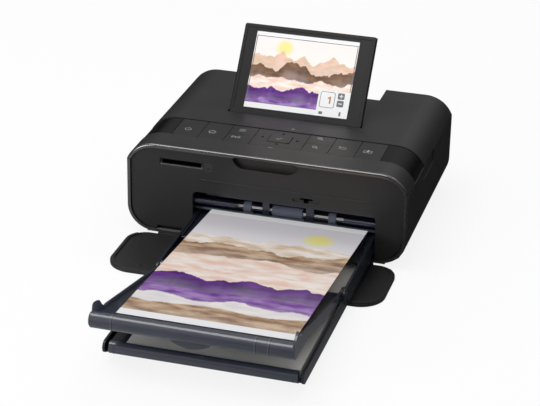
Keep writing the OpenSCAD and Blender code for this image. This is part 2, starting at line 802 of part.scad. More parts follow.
// Board under the keys, with one dome switch below each stem
module key_board() {
    color("#1d4d33") from_front() {
        difference() {
            block(keys_left, key_y0 + 0.6, board_z, -keys_left, key_y1 - 0.6, board_z + board_t);
            for (x = [-key_peg_x, key_peg_x]) rod_z(board_z - 1, board_z + 3, x, key_peg_y, 1.3);
        }
        for (k = KEY_PLAN) rod_z(board_z + board_t, stem_low - key_travel - 0.2, key_centre_x(k),
                key_centre_y(k), 2.2);
        rod_z(board_z + board_t, stem_low - key_travel - 0.2, nav_x, key_mid_y, 2.6);
    }
}

// ---- screen ----

// A screen piece drawn lying flat from its hinge axis, raised to its tilt
module screen_place() {
    from_front() translate([0, screen_axis_y, screen_axis_z]) rotate([screen_tilt, 0, 0]) children();
}

screen_v1 = screen_v0 + screen_h;
screen_mid = screen_v0 + screen_h / 2;
lcd_x = -0.8;

module screen_frame() {
    color("#161618") screen_place() difference() {
        translate([0, 0, screen_face - frame_t]) linear_extrude(height = frame_t) difference() {
            round_rect(-screen_w / 2, screen_v0, screen_w / 2, screen_v1, 1.6);
            round_rect(-screen_w / 2 + frame_edge, screen_v0 + frame_edge,
                       screen_w / 2 - frame_edge, screen_v1 - frame_edge, 0.8);
        }
        // bevelled outer edge
        for (side = [0, 1]) mirror([side, 0, 0])
            translate([screen_w / 2, 0, screen_face]) rotate([0, 45, 0])
                translate([-3, -1, -0.45]) cube([6, screen_h + 9, 4]);
    }
}

module screen_mask() {
    color("#08080a") screen_place() translate([0, 0,
            screen_face - frame_t]) linear_extrude(height = frame_t - 0.3)
        difference() {
            round_rect(-screen_w / 2 + frame_edge + 0.1, screen_v0 + frame_edge + 0.1,
                       screen_w / 2 - frame_edge - 0.1, screen_v1 - frame_edge - 0.1, 0.7);
            translate([lcd_x - lcd_w / 2, screen_mid - lcd_h / 2]) square([lcd_w, lcd_h]);
        }
}

module lcd_panel() {
    color("#cfc6d8") screen_place()
        translate([lcd_x - lcd_w / 2 + 0.05, screen_mid - lcd_h / 2 + 0.05, screen_face - frame_t])
            cube([lcd_w - 0.1, lcd_h - 0.1, frame_t - 0.45]);
}

module screen_back() {
    low = screen_back_w;
    color("#1a1a1c") screen_place() difference() {
        union() {
            along_y(screen_v0, screen_v1) polygon([
                [-screen_w / 2, screen_face - frame_t], [-screen_w / 2, 1.4],
                        [-screen_w / 2 + bay_taper, low],
                [screen_w / 2 - bay_taper, low], [screen_w / 2, 1.4], [screen_w / 2,
                        screen_face - frame_t]]);
            for (side = [-1, 1]) {
                rod_x(side > 0 ? barrel_end - barrel_l : -barrel_end,
                        side > 0 ? barrel_end : barrel_l - barrel_end,
                      0, 0, barrel_r);
                translate([side > 0 ? barrel_end - barrel_l : -barrel_end, 0, -barrel_r + 0.1])
                    cube([barrel_l, screen_v0 + 1, barrel_r + 1.6]);
            }
        }
        // tray for the display module
        translate([-screen_w / 2 + 4.4, screen_v0 + 2, low + 1.4]) cube([screen_w - 8.8, screen_h - 4, 8]);
        rod_x(-barrel_end - 1, -barrel_end + barrel_l - 1, 0, 0, screen_pin_r + running);
        rod_x(barrel_end - barrel_l + 1, barrel_end + 1, 0, 0, screen_pin_r + running);
        // finger scoop in the free edge
        translate([0, screen_v1 + 5, low - 4.2]) cylinder(r = 14, h = 4.8);
    }
}

module screen_pins() {
    color("#b8b8bc") from_front() for (side = [-1, 1])
        rod_x(side > 0 ? barrel_end - barrel_l + 2 : -bay_half - 3.6,
                side > 0 ? bay_half + 3.6 : barrel_l - 2 - barrel_end,
              screen_axis_y, screen_axis_z, screen_pin_r);
}

// ---- front cover and ink cover ----

// Outline of the front cover: X across, Y away from the hinge axis
module cover_outline(inset = 0) {
    r = corner_r - cover_inset - inset;
    side_x = half_w - cover_inset - inset;
    low = cover_foot + inset;
    bend_y = corner_z - hinge_z;
    intersection() {
        union() {
            for (side = [-1, 1]) translate([side * corner_x, bend_y]) circle(r = r);
            translate([-side_x, bend_y]) square([2 * side_x, cover_l - cover_r - bend_y]);
            translate([-corner_x, 0]) square([2 * corner_x, bend_y]);
            for (side = [-1, 1]) translate([side * (half_w - cover_inset - cover_r), cover_l - cover_r])
                circle(r = cover_r - inset);
            translate([-half_w + cover_inset + cover_r, bend_y])
                square([2 * (half_w - cover_inset - cover_r), cover_l - inset - bend_y]);
        }
        translate([-side_x, low]) square([2 * side_x, cover_l]);
    }
}

// Drawn lying open on the table, its inner face up
module front_cover() {
    color("#1e1e20") from_front() difference() {
        union() {
            translate([0, hinge_y, cover_z]) mirror([0, 1, 0]) {
                linear_extrude(height = cover_t) {
                    cover_outline();
                    translate([-hinge_half + 0.3, -0.8]) square([2 * hinge_half - 0.6, cover_foot + 1.8]);
                }
                linear_extrude(height = cover_t + cover_lip) intersection() {
                    difference() {
                        cover_outline(0.6);
                        cover_outline(2.6);
                    }
                    translate([-half_w, cover_foot + 4]) square([case_w, cover_l]);
                }
            }
            // hinge bar and the web that carries it
            rod_x(-hinge_half + 0.3, hinge_half - 0.3, hinge_y, hinge_z, hinge_r);
            block(-hinge_half + 0.3, hinge_y - hinge_r, cover_z + cover_t - 0.1,
                  hinge_half - 0.3, hinge_y + 0.8, hinge_z);
            // latch hook
            along_x(latch_x - 1.3, latch_x + 1.3) translate([hinge_y - (latch_z - hinge_z),
                    cover_z + cover_t])
                polygon([[-1, -0.2], [1, -0.2], [1, 1.6], [1.9, 1.6], [1.4, 2.3], [-1, 2.3]]);
            // small stop nub on the left wing
            translate([-hinge_half + 0.4, hinge_y - cover_l + 7.6, cover_z + cover_t - 0.1])
                linear_extrude(height = 0.8) round_rect(0, 0, 5, 1.2, 0.5);
        }
        for (side = [-1, 1]) rod_x(side * (hinge_half - 4.4) - 4.5, side * (hinge_half - 4.4) + 4.5,
                                   hinge_y, hinge_z, cover_pin_r + running);
    }
}

module front_cover_pins() {
    color("#b8b8bc") from_front() for (side = [-1, 1])
        rod_x(side * (hinge_half - 1) - 4.8, side * (hinge_half - 1) + 4.8, hinge_y, hinge_z, cover_pin_r);
}

// Curved door over the ribbon bay, hinged along its lower edge
module ink_cover() {
    gap = 0.35;
    color("#1c1c1e") from_front() difference() {
        union() {
            along_y(ink_y0 + gap, ink_y1 - gap) intersection() {
                difference() {
                    tub_outline();
                    tub_outline(ink_skin);
                }
                translate([ink_axis_x - 1, ink_axis_z]) square([10, z_part - seam - ink_axis_z]);
            }
            rod_y(ink_y0 + gap, ink_y1 - gap, ink_axis_x, ink_axis_z, ink_barrel_r);
            // stiffening ribs inside
            for (y = [ink_y0 + 6, ink_y1 - 7.4]) along_y(y, y + 1.4) intersection() {
                difference() {
                    tub_outline(ink_skin - 0.3);
                    tub_outline(ink_skin + 1.6);
                }
                translate([corner_x, ink_axis_z + 3]) square([corner_r, z_part - 4 - ink_axis_z]);
            }
        }
        // finger notch in the top edge
        translate([half_w - 0.9, 61, z_part - 5.5]) rotate([0, 90, 0]) linear_extrude(height = 3)
            round_rect(-9, -16, 4.4, 16, 4);
        rod_y(ink_y0 - 1, ink_y0 + 9, ink_axis_x, ink_axis_z, ink_pin_r + running);
        rod_y(ink_y1 - 9, ink_y1 + 1, ink_axis_x, ink_axis_z, ink_pin_r + running);
    }
}

module ink_cover_pins() {
    color("#b8b8bc") from_front() {
        rod_y(ink_y0 - 4.6, ink_y0 + 8, ink_axis_x, ink_axis_z, ink_pin_r);
        rod_y(ink_y1 - 8, ink_y1 + 4.6, ink_axis_x, ink_axis_z, ink_pin_r);
    }
}

// ---- ribbon cassette ----

// Two half-open tubs joined by a frame at each end
module ribbon_case() {
    color("#4a4c52") from_front() difference() {
        union() {
            for (y = spool_y) along_x(ink_left, ink_right) difference() {
                translate([y, spool_z]) circle(r = tub_r);
                translate([y, spool_z]) circle(r = tub_r - tub_t);
                translate([y - 20, film_z - 20]) square([40, 22.4]);
            }
            for (x = [ink_left, ink_right - tub_t]) along_x(x, x + tub_t) difference() {
                union() {
                    for (y = spool_y) translate([y, spool_z]) circle(r = tub_r);
                    translate([spool_y[0], spool_z + 2]) square([spool_y[1] - spool_y[0], 4]);
                }
                translate([0, film_z - 20]) square([200, 19]);
            }
            for (x = [[ink_left, paper_left - 3], [paper_right + 3, ink_right]])
                block(x[0], spool_y[0] + tub_r - 1.6, spool_z + 4, x[1], spool_y[1] - tub_r + 1.6,
                        spool_z + 6);
            // grip on the outer end
            block(ink_right - tub_t, platen_y - 1, spool_z - 3, ink_right + 1.6, platen_y + 1, spool_z + 8);
        }
        for (y = spool_y) rod_x(ink_left - 1, ink_right + 1, y, spool_z, 2.5 + running);
    }
}

// Core with journals and its wound ribbon
module spool(y, wound) {
    from_front() {
        color("#d8d8dc") rod_x(ink_left - 1.5, ink_right + 0.6, y, spool_z, 2.5);
        color("#8a3a5a") rod_x(paper_left - 1.6, paper_right + 2.4, y, spool_z, wound);
        color("#d8d8dc") rod_x(ink_left + tub_t + 0.4, ink_right - tub_t - 0.4, y, spool_z, 4.4);
    }
}

module supply_spool() { spool(spool_y[0], roll_r); }

module takeup_spool() { spool(spool_y[1], roll_r); }

module ribbon_film() {
    color("#a04468") from_front()
        block(paper_left - 1, spool_y[0], film_z, paper_right + 1, spool_y[1], film_z + film_t);
}

// ---- paper cassette ----

// Side wall of the cassette in the Y-Z plane: low in front, a raised cheek behind
module cassette_side() {
    y0 = -cassette_out;
    r = (base_top - cassette_z) / 2;
    translate([y0 + r, cassette_z]) square([cassette_out + cassette_in - r, base_top - cassette_z]);
    translate([y0 + r, cassette_z + r]) circle(r = r);
    translate([cheek_y, cassette_z]) square([cassette_in - cheek_y, cheek_top - cassette_z - 4]);
    translate([cheek_y + 4, cheek_top - 6]) square([cassette_in - cheek_y - 4, 6]);
    translate([cheek_y + 4, cheek_top - 4]) circle(r = 4);
}

module cassette_base() {
    color("#23252d") from_front() difference() {
        union() {
            for (x = [cassette_left, cassette_right - cassette_wall])
                along_x(x, x + cassette_wall) cassette_side();
            block(cassette_left + 0.1, nose_r - cassette_out - 0.2, cassette_z, cassette_right - 0.1,
                    cassette_in, well_z);
            // guide beside the paper and the wall at the inner end
            block(paper_left - 1.8, -cassette_out + 5.2, cassette_z, paper_left - 0.6, cassette_in - 1,
                    stack_top + 0.4);
            block(cassette_left + 0.1, cassette_in - 1.4, cassette_z, cassette_right - 0.1,
                    cassette_in, well_z + 3);
            // outer sliding rails
            for (x = [cassette_left - 0.45, cassette_right - 0.05])
                block(x, cheek_y + 8, cassette_z + 3, x + 0.5, cassette_in - 3, cassette_z + 4.6);
            // shelf over the left channel, carried by the guide
            block(left_arm_x + arm_t + guide_gap, -cassette_out + 6, base_top - 2.2, paper_left - 1.7,
                    cassette_in - 1, base_top - 1);
            // step and bracket inside the right cheek
            block(cassette_right - cassette_wall - 1, -20, cheek_top - 1.5,
                    cassette_right - cassette_wall + 0.1, cassette_in - 2, cheek_top - 0.4);
            block(cassette_right - cassette_wall - 2, -11, cheek_top - 1.6,
                    cassette_right - cassette_wall + 0.1, -5, cheek_top - 0.2);
            // stiffening ribs across the left channel
            for (i = [0:5]) block(cassette_left + 1, -140 + i * 22, cassette_z, paper_left - 1.2,
                    -138.8 + i * 22, well_z + 1.6);
        }
        rod_x(cassette_left - 2, cassette_right + 2, pivot_y, pivot_z, pivot_r);
        // shallow ejector windows in the floor
        for (i = [0:3]) translate([paper_x - 30 + i * 20, -96, cassette_z - 1]) linear_extrude(height = 4)
            round_rect(-5, -16, 5, 16, 3);
    }
}

// Glossy half-round bar that closes the cassette in front; the tray's arms pass its ends
module cassette_front() {
    x0 = left_arm_x + arm_t + guide_gap;
    x1 = right_arm_x - arm_t - guide_gap;
    r = nose_r;
    y = -cassette_out + r;
    color("#3a3e4a") from_front() {
        difference() {
            along_x(x0, x1) {
                translate([y, cassette_z + r]) circle(r = r);
                translate([y, cassette_z + 1.5]) square([bar_depth + 0.2 - r, 2 * r - 3.5]);
            }
            // back face, the step on the floor and the set-back lower part
            block(x0 - 1, -cassette_out + bar_depth, cassette_z - 1, x1 + 1, y + 6, base_top + 1);
            block(x0 - 1, y - 0.2, cassette_z - 1, x1 + 1, y + 6, well_z);
            block(x0 + 2, y - r - 1, cassette_z - 1, x1 - 2, y - r + 0.7, cassette_z + 3);
        }
        // upright ridges near both ends and a small arrow on the top
        for (x = [x0 + 2.6, x1 - 3.1]) along_x(x, x + 0.5) intersection() {
            translate([y, cassette_z + r]) circle(r = r + 0.15);
            translate([y - r - 1, cassette_z + 0.8]) square([r + 0.6, 2 * r - 1.6]);
        }
        translate([paper_x - 4.1, y - 1, cassette_z + 2 * r - 0.6]) rotate(90)
            linear_extrude(height = 0.8) circle(r = 1.1, $fn = 3);
    }
}

// Fixed inner lid over the end of the stack, with two rests for the print
module cassette_lid() {
    plate_z = cassette_z + 9.8;
    front = -28;
    x0 = cassette_left + cassette_wall + 0.1;
    x1 = cassette_right - cassette_wall - 0.1;
    color("#2b2e38") from_front() difference() {
        union() {
            block(x0, front, plate_z, x1, cassette_in - 0.4, plate_z + 1.2);
            block(x0, front, plate_z, x0 + 1.2, cassette_in - 0.4, cheek_top - 0.4);
            for (x = [paper_left + 1, paper_right - 2.4]) along_x(x, x + 1.4)
                polygon([[rest_y - 7, plate_z + 1], [rest_y + 3, plate_z + 1], [rest_y + 0.6,
                        rest_z - 0.25],
                         [rest_y - 0.6, rest_z - 0.25]]);
            for (i = [0:6]) block(x0 + 12 + i * 15, front + 1, plate_z + 1.1, x0 + 13 + i * 15, -13,
                    plate_z + 2);
            // strip that closes the front edge of the lid
            rod_x(x0, x1, front + 0.4, plate_z + 0.6, 0.9);
        }
        // window for the pick-up roller
        block(paper_x - 16, 1, plate_z - 1, paper_x + 16, cassette_in - 3, plate_z + 4);
    }
}

module paper_stack() {
    color("#e6e6e4") from_front()
        block(paper_left, stack_front, well_z + 0.05, paper_right, stack_front + paper_l, stack_top);
}

// Side arm of the tray in the Y-Z plane, drawn closed; its band begins at y0
module tray_arm(y0) {
    difference() {
        union() {
            translate([pivot_y, pivot_z]) circle(r = arm_end_r);
            translate([y0, arm_low]) square([pivot_y - y0, arm_top - arm_low]);
            translate([tray_bar_y, tray_bar_z]) circle(r = bar_r - 0.2);
            // the lower edge runs straight down to the bar
            polygon([[tray_bar_y, tray_bar_z - bar_r + 0.3], [tray_bar_y + arm_wedge, arm_low],
                     [tray_bar_y + arm_wedge, arm_low + 2], [tray_bar_y, tray_bar_z + 2]]);
        }
        translate([pivot_y - 16, arm_low - 4]) rotate(14) square([30, 5]);
        translate([pivot_y, pivot_z]) circle(r = pivot_r + running);
    }
}

// Ear at the front of the right arm: its front edge leans back to a slim tip
module tray_ear() {
    intersection() {
        translate([tray_bar_y + 6.5, tray_bar_z + 0.3]) circle(r = 11);
        translate([tray_bar_y - bar_r, tray_bar_z]) square([12, arm_top + ear_rise - tray_bar_z]);
    }
    translate([tray_bar_y + 1.45, arm_top + ear_rise]) circle(r = 0.75);
}

// Curved leaf that joins the left arm to the bar's left end
module tray_leaf() {
    x = left_arm_x + arm_t / 2 - leaf_r;
    tip_r = 3.4;
    intersection() {
        translate([0, 0, tray_bar_z]) linear_extrude(height = 16) {
            intersection() {
                translate([x, leaf_y]) difference() {
                    circle(r = leaf_r + arm_t / 2);
                    circle(r = leaf_r - arm_t / 2);
                }
                translate([x, leaf_y - leaf_r - arm_t]) square([leaf_r + arm_t, leaf_r + arm_t]);
            }
            translate([bar_left + 0.3, leaf_y - leaf_r - arm_t / 2])
                square([x + eps - bar_left - 0.3, arm_t]);
        }
        along_y(tray_bar_y - bar_r, leaf_y + 1) {
            translate([bar_left + 0.3, tray_bar_z - 1])
                square([2 * tip_r, arm_top + leaf_rise - tip_r - tray_bar_z + 1]);
            translate([bar_left + 0.3 + tip_r, arm_top + leaf_rise - tip_r]) circle(r = tip_r);
        }
    }
}

module output_tray() {
    color("#4a5060", 0.6) from_front() translate([0, pivot_y, pivot_z]) rotate([-tray_tilt, 0, 0])
        translate([0, -pivot_y, -pivot_z]) {
            difference() {
                union() {
                    along_x(left_arm_x, left_arm_x + arm_t) tray_arm(leaf_y);
                    along_x(right_arm_x - arm_t, right_arm_x) {
                        tray_arm(tray_bar_y + 1);
                        tray_ear();
                    }
                    block(left_arm_x + 0.1, tray_bar_y, tray_floor_z, right_arm_x - 0.1, pivot_y - 1.6,
                            tray_floor_z + tray_floor_t);
                    rod_x(bar_left + 0.8, bar_right, tray_bar_y, tray_bar_z, bar_r);
                    translate([bar_left, tray_bar_y, tray_bar_z]) rotate([0, 90, 0])
                        cylinder(r1 = bar_r - 0.8, r2 = bar_r, h = 0.8);
                    tray_leaf();
                    // fine rings round the bar
                    for (x = [paper_left - 1.2, paper_right - 20.1, paper_right - 12.6])
                        rod_x(x, x + 0.45, tray_bar_y, tray_bar_z, bar_r + ring_rise);
                }
                // dip in the top edge behind the ear and the leaf
                rod_x(bar_left - 1, right_arm_x + 1, dip_y, arm_top + dip_r - 0.4, dip_r);
                // the bar is hollow, open to the back
                block(left_arm_x + arm_t + 1, tray_bar_y + 1.5, tray_bar_z - 8,
                        right_arm_x - arm_t - 1, tray_bar_y + 12, tray_floor_z - 0.6);
            }
            // crescent grip under the bar
            along_y(tray_bar_y - 1.8, tray_bar_y + 0.9) intersection() {
                translate([grip_x, tray_bar_z + grip_r - bar_r - 3]) circle(r = grip_r);
                translate([grip_x - 20, tray_bar_z - bar_r - 4]) square([40, 5.5]);
            }
        }
}

module tray_pins() {
    color("#b8b8bc") from_front() {
        rod_x(cassette_left, left_arm_x + arm_t + 0.6, pivot_y, pivot_z, pivot_r);
        rod_x(right_arm_x - arm_t - 0.6, cassette_right, pivot_y, pivot_z, pivot_r);
    }
}

// Finished print, lying from the rests of the lid to the tray's front bar
module print_sheet() {
    color("#d9d3da") from_front() translate([0, rest_y, rest_z]) rotate([-print_slope, 0, 0])
        translate([paper_left, print_tail - paper_l, 0]) cube([paper_w, paper_l, sheet_t]);
}

// ---- feed and gears ----

module feed_shaft() {
    color("#c8c8cc") from_front() rod_x(gear_x - 0.6, right_frame_x + 3, feed_y, feed_z, shaft_r);
}

// Fluted rubber roller: a core with fine ribs along it
module fluted(x0, x1) {
    flutes = 20;
    along_x(x0, x1) translate([feed_y, feed_z]) difference() {
        circle(r = feed_r);
        circle(r = shaft_r);
        for (i = [0:flutes - 1]) rotate(i * 360 / flutes) translate([feed_r + 0.25, 0]) circle(r = 0.45);
    }
}

module feed_rollers() {
    color("#3c4048") from_front() {
        for (x = ROLLERS) fluted(paper_x + x[0], paper_x + x[1]);
    }
}

module pinch_rollers() {
    color("#50545c") from_front() {
        rod_x(left_frame_x - 1, right_frame_x + 2, feed_y, pinch_z, pinch_shaft_r);
        for (x = ROLLERS) rod_x(paper_x + x[0] - 0.5, paper_x + x[1] + 0.5, feed_y, pinch_z, pinch_r);
    }
}

module platen_roller() {
    color("#2c2c2e") from_front() {
        rod_x(gear_x - 0.6, right_frame_x + 3, platen_y, platen_z, shaft_r);
        rod_x(paper_left - 1, paper_right + 1, platen_y, platen_z, platen_r);
    }
}

// Involute tooth: half angle at radius r of a tooth with play
function inv_deg(a) = tan(a) * 180 / PI - a;
function half_tooth(teeth, r) =
    90 / teeth - backlash / 2 / pitch_r(teeth) * 180 / PI + inv_deg(20)
    - inv_deg(acos(min(1, pitch_r(teeth) * cos(20) / r)));
function tooth_points(teeth, turn) =
    let (rp = pitch_r(teeth), root = rp - 1.2 * gear_m, tip = rp + 0.78 * gear_m,
         base = max(root, rp * cos(20) + eps), steps = 3)
    concat([[root, turn - half_tooth(teeth, base)]],
           [for (i = [0:steps]) let (r = base + (tip - base) * i / steps) [r, turn - half_tooth(teeth, r)]],
           [for (i = [steps:-1:0]) let (r = base + (tip - base) * i / steps) [r,
                   turn + half_tooth(teeth, r)]],
           [[root, turn + half_tooth(teeth, base)]]);
function polar(p) = [p[0] * cos(p[1]), p[0] * sin(p[1])];

module gear(teeth, turn, y, z, bore) {
    along_x(gear_x, gear_x + gear_w) translate([y, z]) difference() {
        polygon([for (i = [0:teeth - 1]) for (p = tooth_points(teeth, turn + i * 360 / teeth)) polar(p)]);
        circle(r = bore);
    }
}

// Turn of a gear that puts its tooth gap opposite the idler's tooth in the direction phi
function mesh_turn(teeth, phi) = phi + 180 + phi * idler_teeth / teeth + 180 / teeth;
feed_phi = atan2(feed_z - idler_z, feed_y - idler_y);
platen_phi = atan2(platen_z - idler_z, platen_y - idler_y);

module feed_gear() {
    color("#e8e6dc") from_front() {
        gear(feed_teeth, mesh_turn(feed_teeth, feed_phi), feed_y, feed_z, shaft_r);
    }
}

module platen_gear() {
    color("#e8e6dc") from_front() difference() {
        gear(platen_teeth, mesh_turn(platen_teeth, platen_phi), platen_y, platen_z, shaft_r);
        gear_web(platen_y, platen_z, pitch_r(platen_teeth));
    }
}

module idler_gear() {
    color("#e8e6dc") from_front() difference() {
        gear(idler_teeth, 0, idler_y, idler_z, shaft_r + running);
        gear_web(idler_y, idler_z, pitch_r(idler_teeth));
        for (i = [0:5]) rotate_about(idler_y, idler_z, i * 60) rod_x(gear_x - 1, gear_x + gear_w + 1,
                idler_y + 10, idler_z, 2.8);
    }
}

module motor_pinion() {
    color("#c9a24a") from_front() {
        gear(pinion_teeth, mesh_turn(pinion_teeth, motor_angle), motor_y, motor_z, pinion_bore - eps);
        rod_x(gear_x - 0.4, motor_x + frame_plate + 8, motor_y, motor_z, pinion_bore);
    }
}

module rotate_about(y, z, angle) {
    translate([0, y, z]) rotate([angle, 0, 0]) translate([0, -y, -z]) children();
}

// Ring-shaped recess in a gear's outer face
module gear_web(y, z, r) {
    along_x(gear_x - 1, gear_x + 1.4) translate([y, z]) difference() {
        circle(r = r - 2.2);
        circle(r = shaft_r + 2);
    }
}

module feed_motor() {
    x0 = motor_x + frame_plate;
    color("#9a9ca2") from_front() difference() {
        union() {
            rod_x(x0, left_frame_x, motor_y, motor_z, motor_r);
            rod_x(motor_x - 0.6, x0 + eps, motor_y, motor_z, 3);
        }
        rod_x(motor_x - 1, x0 + 9, motor_y, motor_z, pinion_bore + running);
    }
}

// Print head with its finned heat sink, held over the platen
module thermal_head() {
    low = film_z + film_t + 0.15;
    color("#a8aab0") from_front() {
        block(left_frame_x + frame_plate, platen_y - 5.6, low + 1.2, right_frame_x, platen_y + 5.6,
                low + 5.4);
        block(paper_left - 1, platen_y - 3, low, paper_right + 1, platen_y + 3, low + 1.3);
        for (i = [0:4]) block(paper_left - 1, platen_y - 5.6 + i * 2.5, low + 5.2, paper_right + 1,
                platen_y - 4.4 + i * 2.5, low + 11);
    }
}

// Steel side plate with the bearing holes of the shafts
module frame_outline(top) {
    difference() {
        union() {
            translate([4.6, frame_low]) square([spool_y[1] + 12.4, feed_z + 8 - frame_low]);
            translate([22, feed_z]) square([spool_y[1] - 5, top - feed_z]);
        }
        translate([feed_y, feed_z]) circle(r = shaft_r + running);
        translate([feed_y, pinch_z]) circle(r = pinch_shaft_r + running);
        translate([platen_y, platen_z]) circle(r = shaft_r + running);
    }
}

module left_frame() {
    color("#b4b6ba") from_front() {
        along_x(left_frame_x, left_frame_x + frame_plate) frame_outline(frame_top);
        block(left_frame_x - 7, flange_y[0], floor_z, left_frame_x + frame_plate, flange_y[1],
                floor_z + frame_plate);
        block(left_frame_x, flange_y[0], floor_z, left_frame_x + frame_plate, flange_y[1], frame_low + 0.1);
        // stud that the idler turns on, with its collar and snap head
        rod_x(gear_x - 1.2, left_frame_x + 0.2, idler_y, idler_z, shaft_r);
        rod_x(gear_x + gear_w + 0.3, gear_x + gear_w + 1.3, idler_y, idler_z, shaft_r + 1.4);
        rod_x(gear_x - 1.2, gear_x - 0.3, idler_y, idler_z, shaft_r + 0.7);
        // bracket that the motor is held in
        difference() {
            union() {
                block(motor_x, motor_y - 9, motor_z - motor_r - frame_plate, motor_x + frame_plate,
                        motor_y + 9, motor_z + 6);
                block(motor_x, motor_y - 7, motor_z - motor_r - frame_plate, left_frame_x + 0.1,
                        motor_y + 7, motor_z - motor_r);
            }
            rod_x(motor_x - 1, motor_x + frame_plate + eps, motor_y, motor_z, 3.1);
        }
    }
}

module right_frame() {
    color("#b4b6ba") from_front() {
        along_x(right_frame_x, right_frame_x + frame_plate) difference() {
            frame_outline(frame_top + 3);
            for (y = spool_y) translate([y, spool_z]) circle(r = tub_r + 0.8);
            translate([spool_y[0], spool_z + 1.2]) square([spool_y[1] - spool_y[0], 6]);
        }
        block(right_frame_x - 8, flange_y[0], floor_z + 0.03, right_frame_x + 0.5, flange_y[1],
                floor_z + frame_plate);
        block(right_frame_x, flange_y[0], floor_z + 0.03, right_frame_x + 0.5, flange_y[1], frame_low + 0.1);
    }
}

module main_board() {
    top = board_low + board_t;
    color("#1d4d33") from_front() {
        difference() {
            block(-70, 101, board_low, paper_right - 6, rear_y - 1, top);
            for (x = board_peg_x) for (y = board_peg_y) rod_z(0, z_part, x, y, 1.6);
        }
        // packages, capacitors and a connector
        block(paper_x - 22, 108, top - 0.1, paper_x - 8, 122, top + 1.6);
        block(paper_x + 6, 106, top - 0.1, paper_x + 15, 118, top + 1.4);
        for (i = [0:3]) rod_z(top - 0.1, top + 7.4, paper_right - 26, 104.6 + i * 7, 2.8);
        block(paper_x + 24, 104, top - 0.1, paper_x + 28, 124, top + 4.4);
    }
}

module card_reader() {
    z0 = card_z() - 1.2;
    color("#8f9297") from_front() difference() {
        block(card_x() - reader_half, panel_set + panel_t + 0.2, z0, card_x() + reader_half, 34, z0 + 5);
        block(card_x() - 12.9, 0, card_z() - 0.1, card_x() + 12.9, 32, card_z() + 3);
    }
}

module power_socket() {
    color("#111113") from_front() {
        difference() {
            union() {
                block(jack_x - jack_half, rear_y - 13, jack_z - jack_half, jack_x + jack_half,
                        rear_y - 0.1, jack_z + jack_half);
                rod_y(rear_y - 1, rear_y + panel_t - 0.3, jack_x, jack_z, jack_r - 0.15);
            }
            rod_y(rear_y - 9, rear_y + 5, jack_x, jack_z, 3.2);
        }
        rod_y(rear_y - 9.5, rear_y + panel_t - 1, jack_x, jack_z, 0.85);
    }
}

module usb_socket() {
    color("#b8b8bc") from_front() difference() {
        along_y(rear_y - 7, rear_y + panel_t - 0.4)
            round_rect(usb_x - 4.3, usb_z - 2.5, usb_x + 4.3, usb_z + 2.5, 0.7);
        along_y(rear_y - 6, rear_y + 5) difference() {
            round_rect(usb_x - 3.8, usb_z - 2, usb_x + 3.8, usb_z + 2, 0.5);
            translate([usb_x - 2.6, usb_z - 0.5]) square([5.2, 1]);
        }
    }
}

module rubber_feet() {
    color("#101012") from_front() for (x = [-foot_x, foot_x]) for (y = foot_y) {
        rod_z(0.6, z_base + 0.8, x, y, 5);
        translate([x, y, 0]) cylinder(r1 = 4.4, r2 = 5, h = 0.6 + eps);
    }
}

module case_screws() {
    color("#8c8e92") from_front() for (x = [-post_x, post_x]) for (y = post_y) difference() {
        union() {
            rod_z(screw_head_z - 1.8, screw_head_z, x, y, screw_head_r);
            rod_z(screw_head_z - 0.1, z_part + screw_bite - 0.4, x, y, screw_r);
        }
        for (a = [0, 90]) translate([x, y, screw_head_z - 1.4]) rotate(a) cube([3.2, 0.7, 1.4],
                center = true);
    }
}

bottom_case();
top_cover();
front_panel();
rear_panel();
mouth_liner();
key_band();
key_board();
key_power();
key_home();
key_menu();
key_wireless();
key_zoom_in();
key_zoom_out();
key_back();
key_print();
key_ok();
nav_pad();
nav_gimbal();
screen_frame();
screen_mask();
lcd_panel();
screen_back();
screen_pins();
front_cover();
front_cover_pins();
ink_cover();
ink_cover_pins();
ribbon_case();
supply_spool();
takeup_spool();
ribbon_film();
cassette_base();
cassette_front();
cassette_lid();
paper_stack();
output_tray();
tray_pins();
print_sheet();
feed_shaft();
feed_rollers();
feed_gear();
pinch_rollers();
platen_roller();
platen_gear();
idler_gear();
motor_pinion();
feed_motor();
thermal_head();
left_frame();
right_frame();
main_board();
card_reader();
power_socket();
usb_socket();
rubber_feet();
case_screws();
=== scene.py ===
import math

import bpy
import numpy as np
from mathutils import Matrix


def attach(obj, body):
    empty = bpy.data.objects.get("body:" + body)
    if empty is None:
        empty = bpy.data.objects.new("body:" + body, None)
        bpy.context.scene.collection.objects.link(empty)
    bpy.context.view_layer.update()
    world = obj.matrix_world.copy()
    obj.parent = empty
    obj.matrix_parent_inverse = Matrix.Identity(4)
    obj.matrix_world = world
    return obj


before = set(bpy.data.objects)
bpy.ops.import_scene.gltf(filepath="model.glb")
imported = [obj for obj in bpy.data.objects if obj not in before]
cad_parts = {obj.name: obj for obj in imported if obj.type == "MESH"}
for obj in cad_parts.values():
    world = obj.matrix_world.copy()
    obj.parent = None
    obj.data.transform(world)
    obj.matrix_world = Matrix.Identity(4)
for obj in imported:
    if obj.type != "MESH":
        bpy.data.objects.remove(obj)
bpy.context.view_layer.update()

# ---- camera -------------------------------------------------------------------------------------
# A long lens to the right of the front, 25 degrees above the table, as for a catalogue picture. The
# lens and its place were fitted to the case's edges in the photograph. The aim point is the middle
# of the case's front, 30 mm above the table, which lands on the pixel AIM_PX.
MM = 0.001
FRONT = 19.9608 * MM                      # the front face of the case in the part's frame
PICTURE = (540, 406)                      # the photograph's size in pixels
LENS_PX, REACH = 1881.67, 1.16146         # focal length in pixels; metres to the aim point
AZIMUTH, ELEVATION, ROLL = map(math.radians, (15.59, 25.12, 1.14))
AIM_PX, AIM_RISE = (264.22, 208.02), 30 * MM
SENSOR, NEAR, FAR = 36, 0.05, 20          # sensor's width in mm; clipping distances in metres

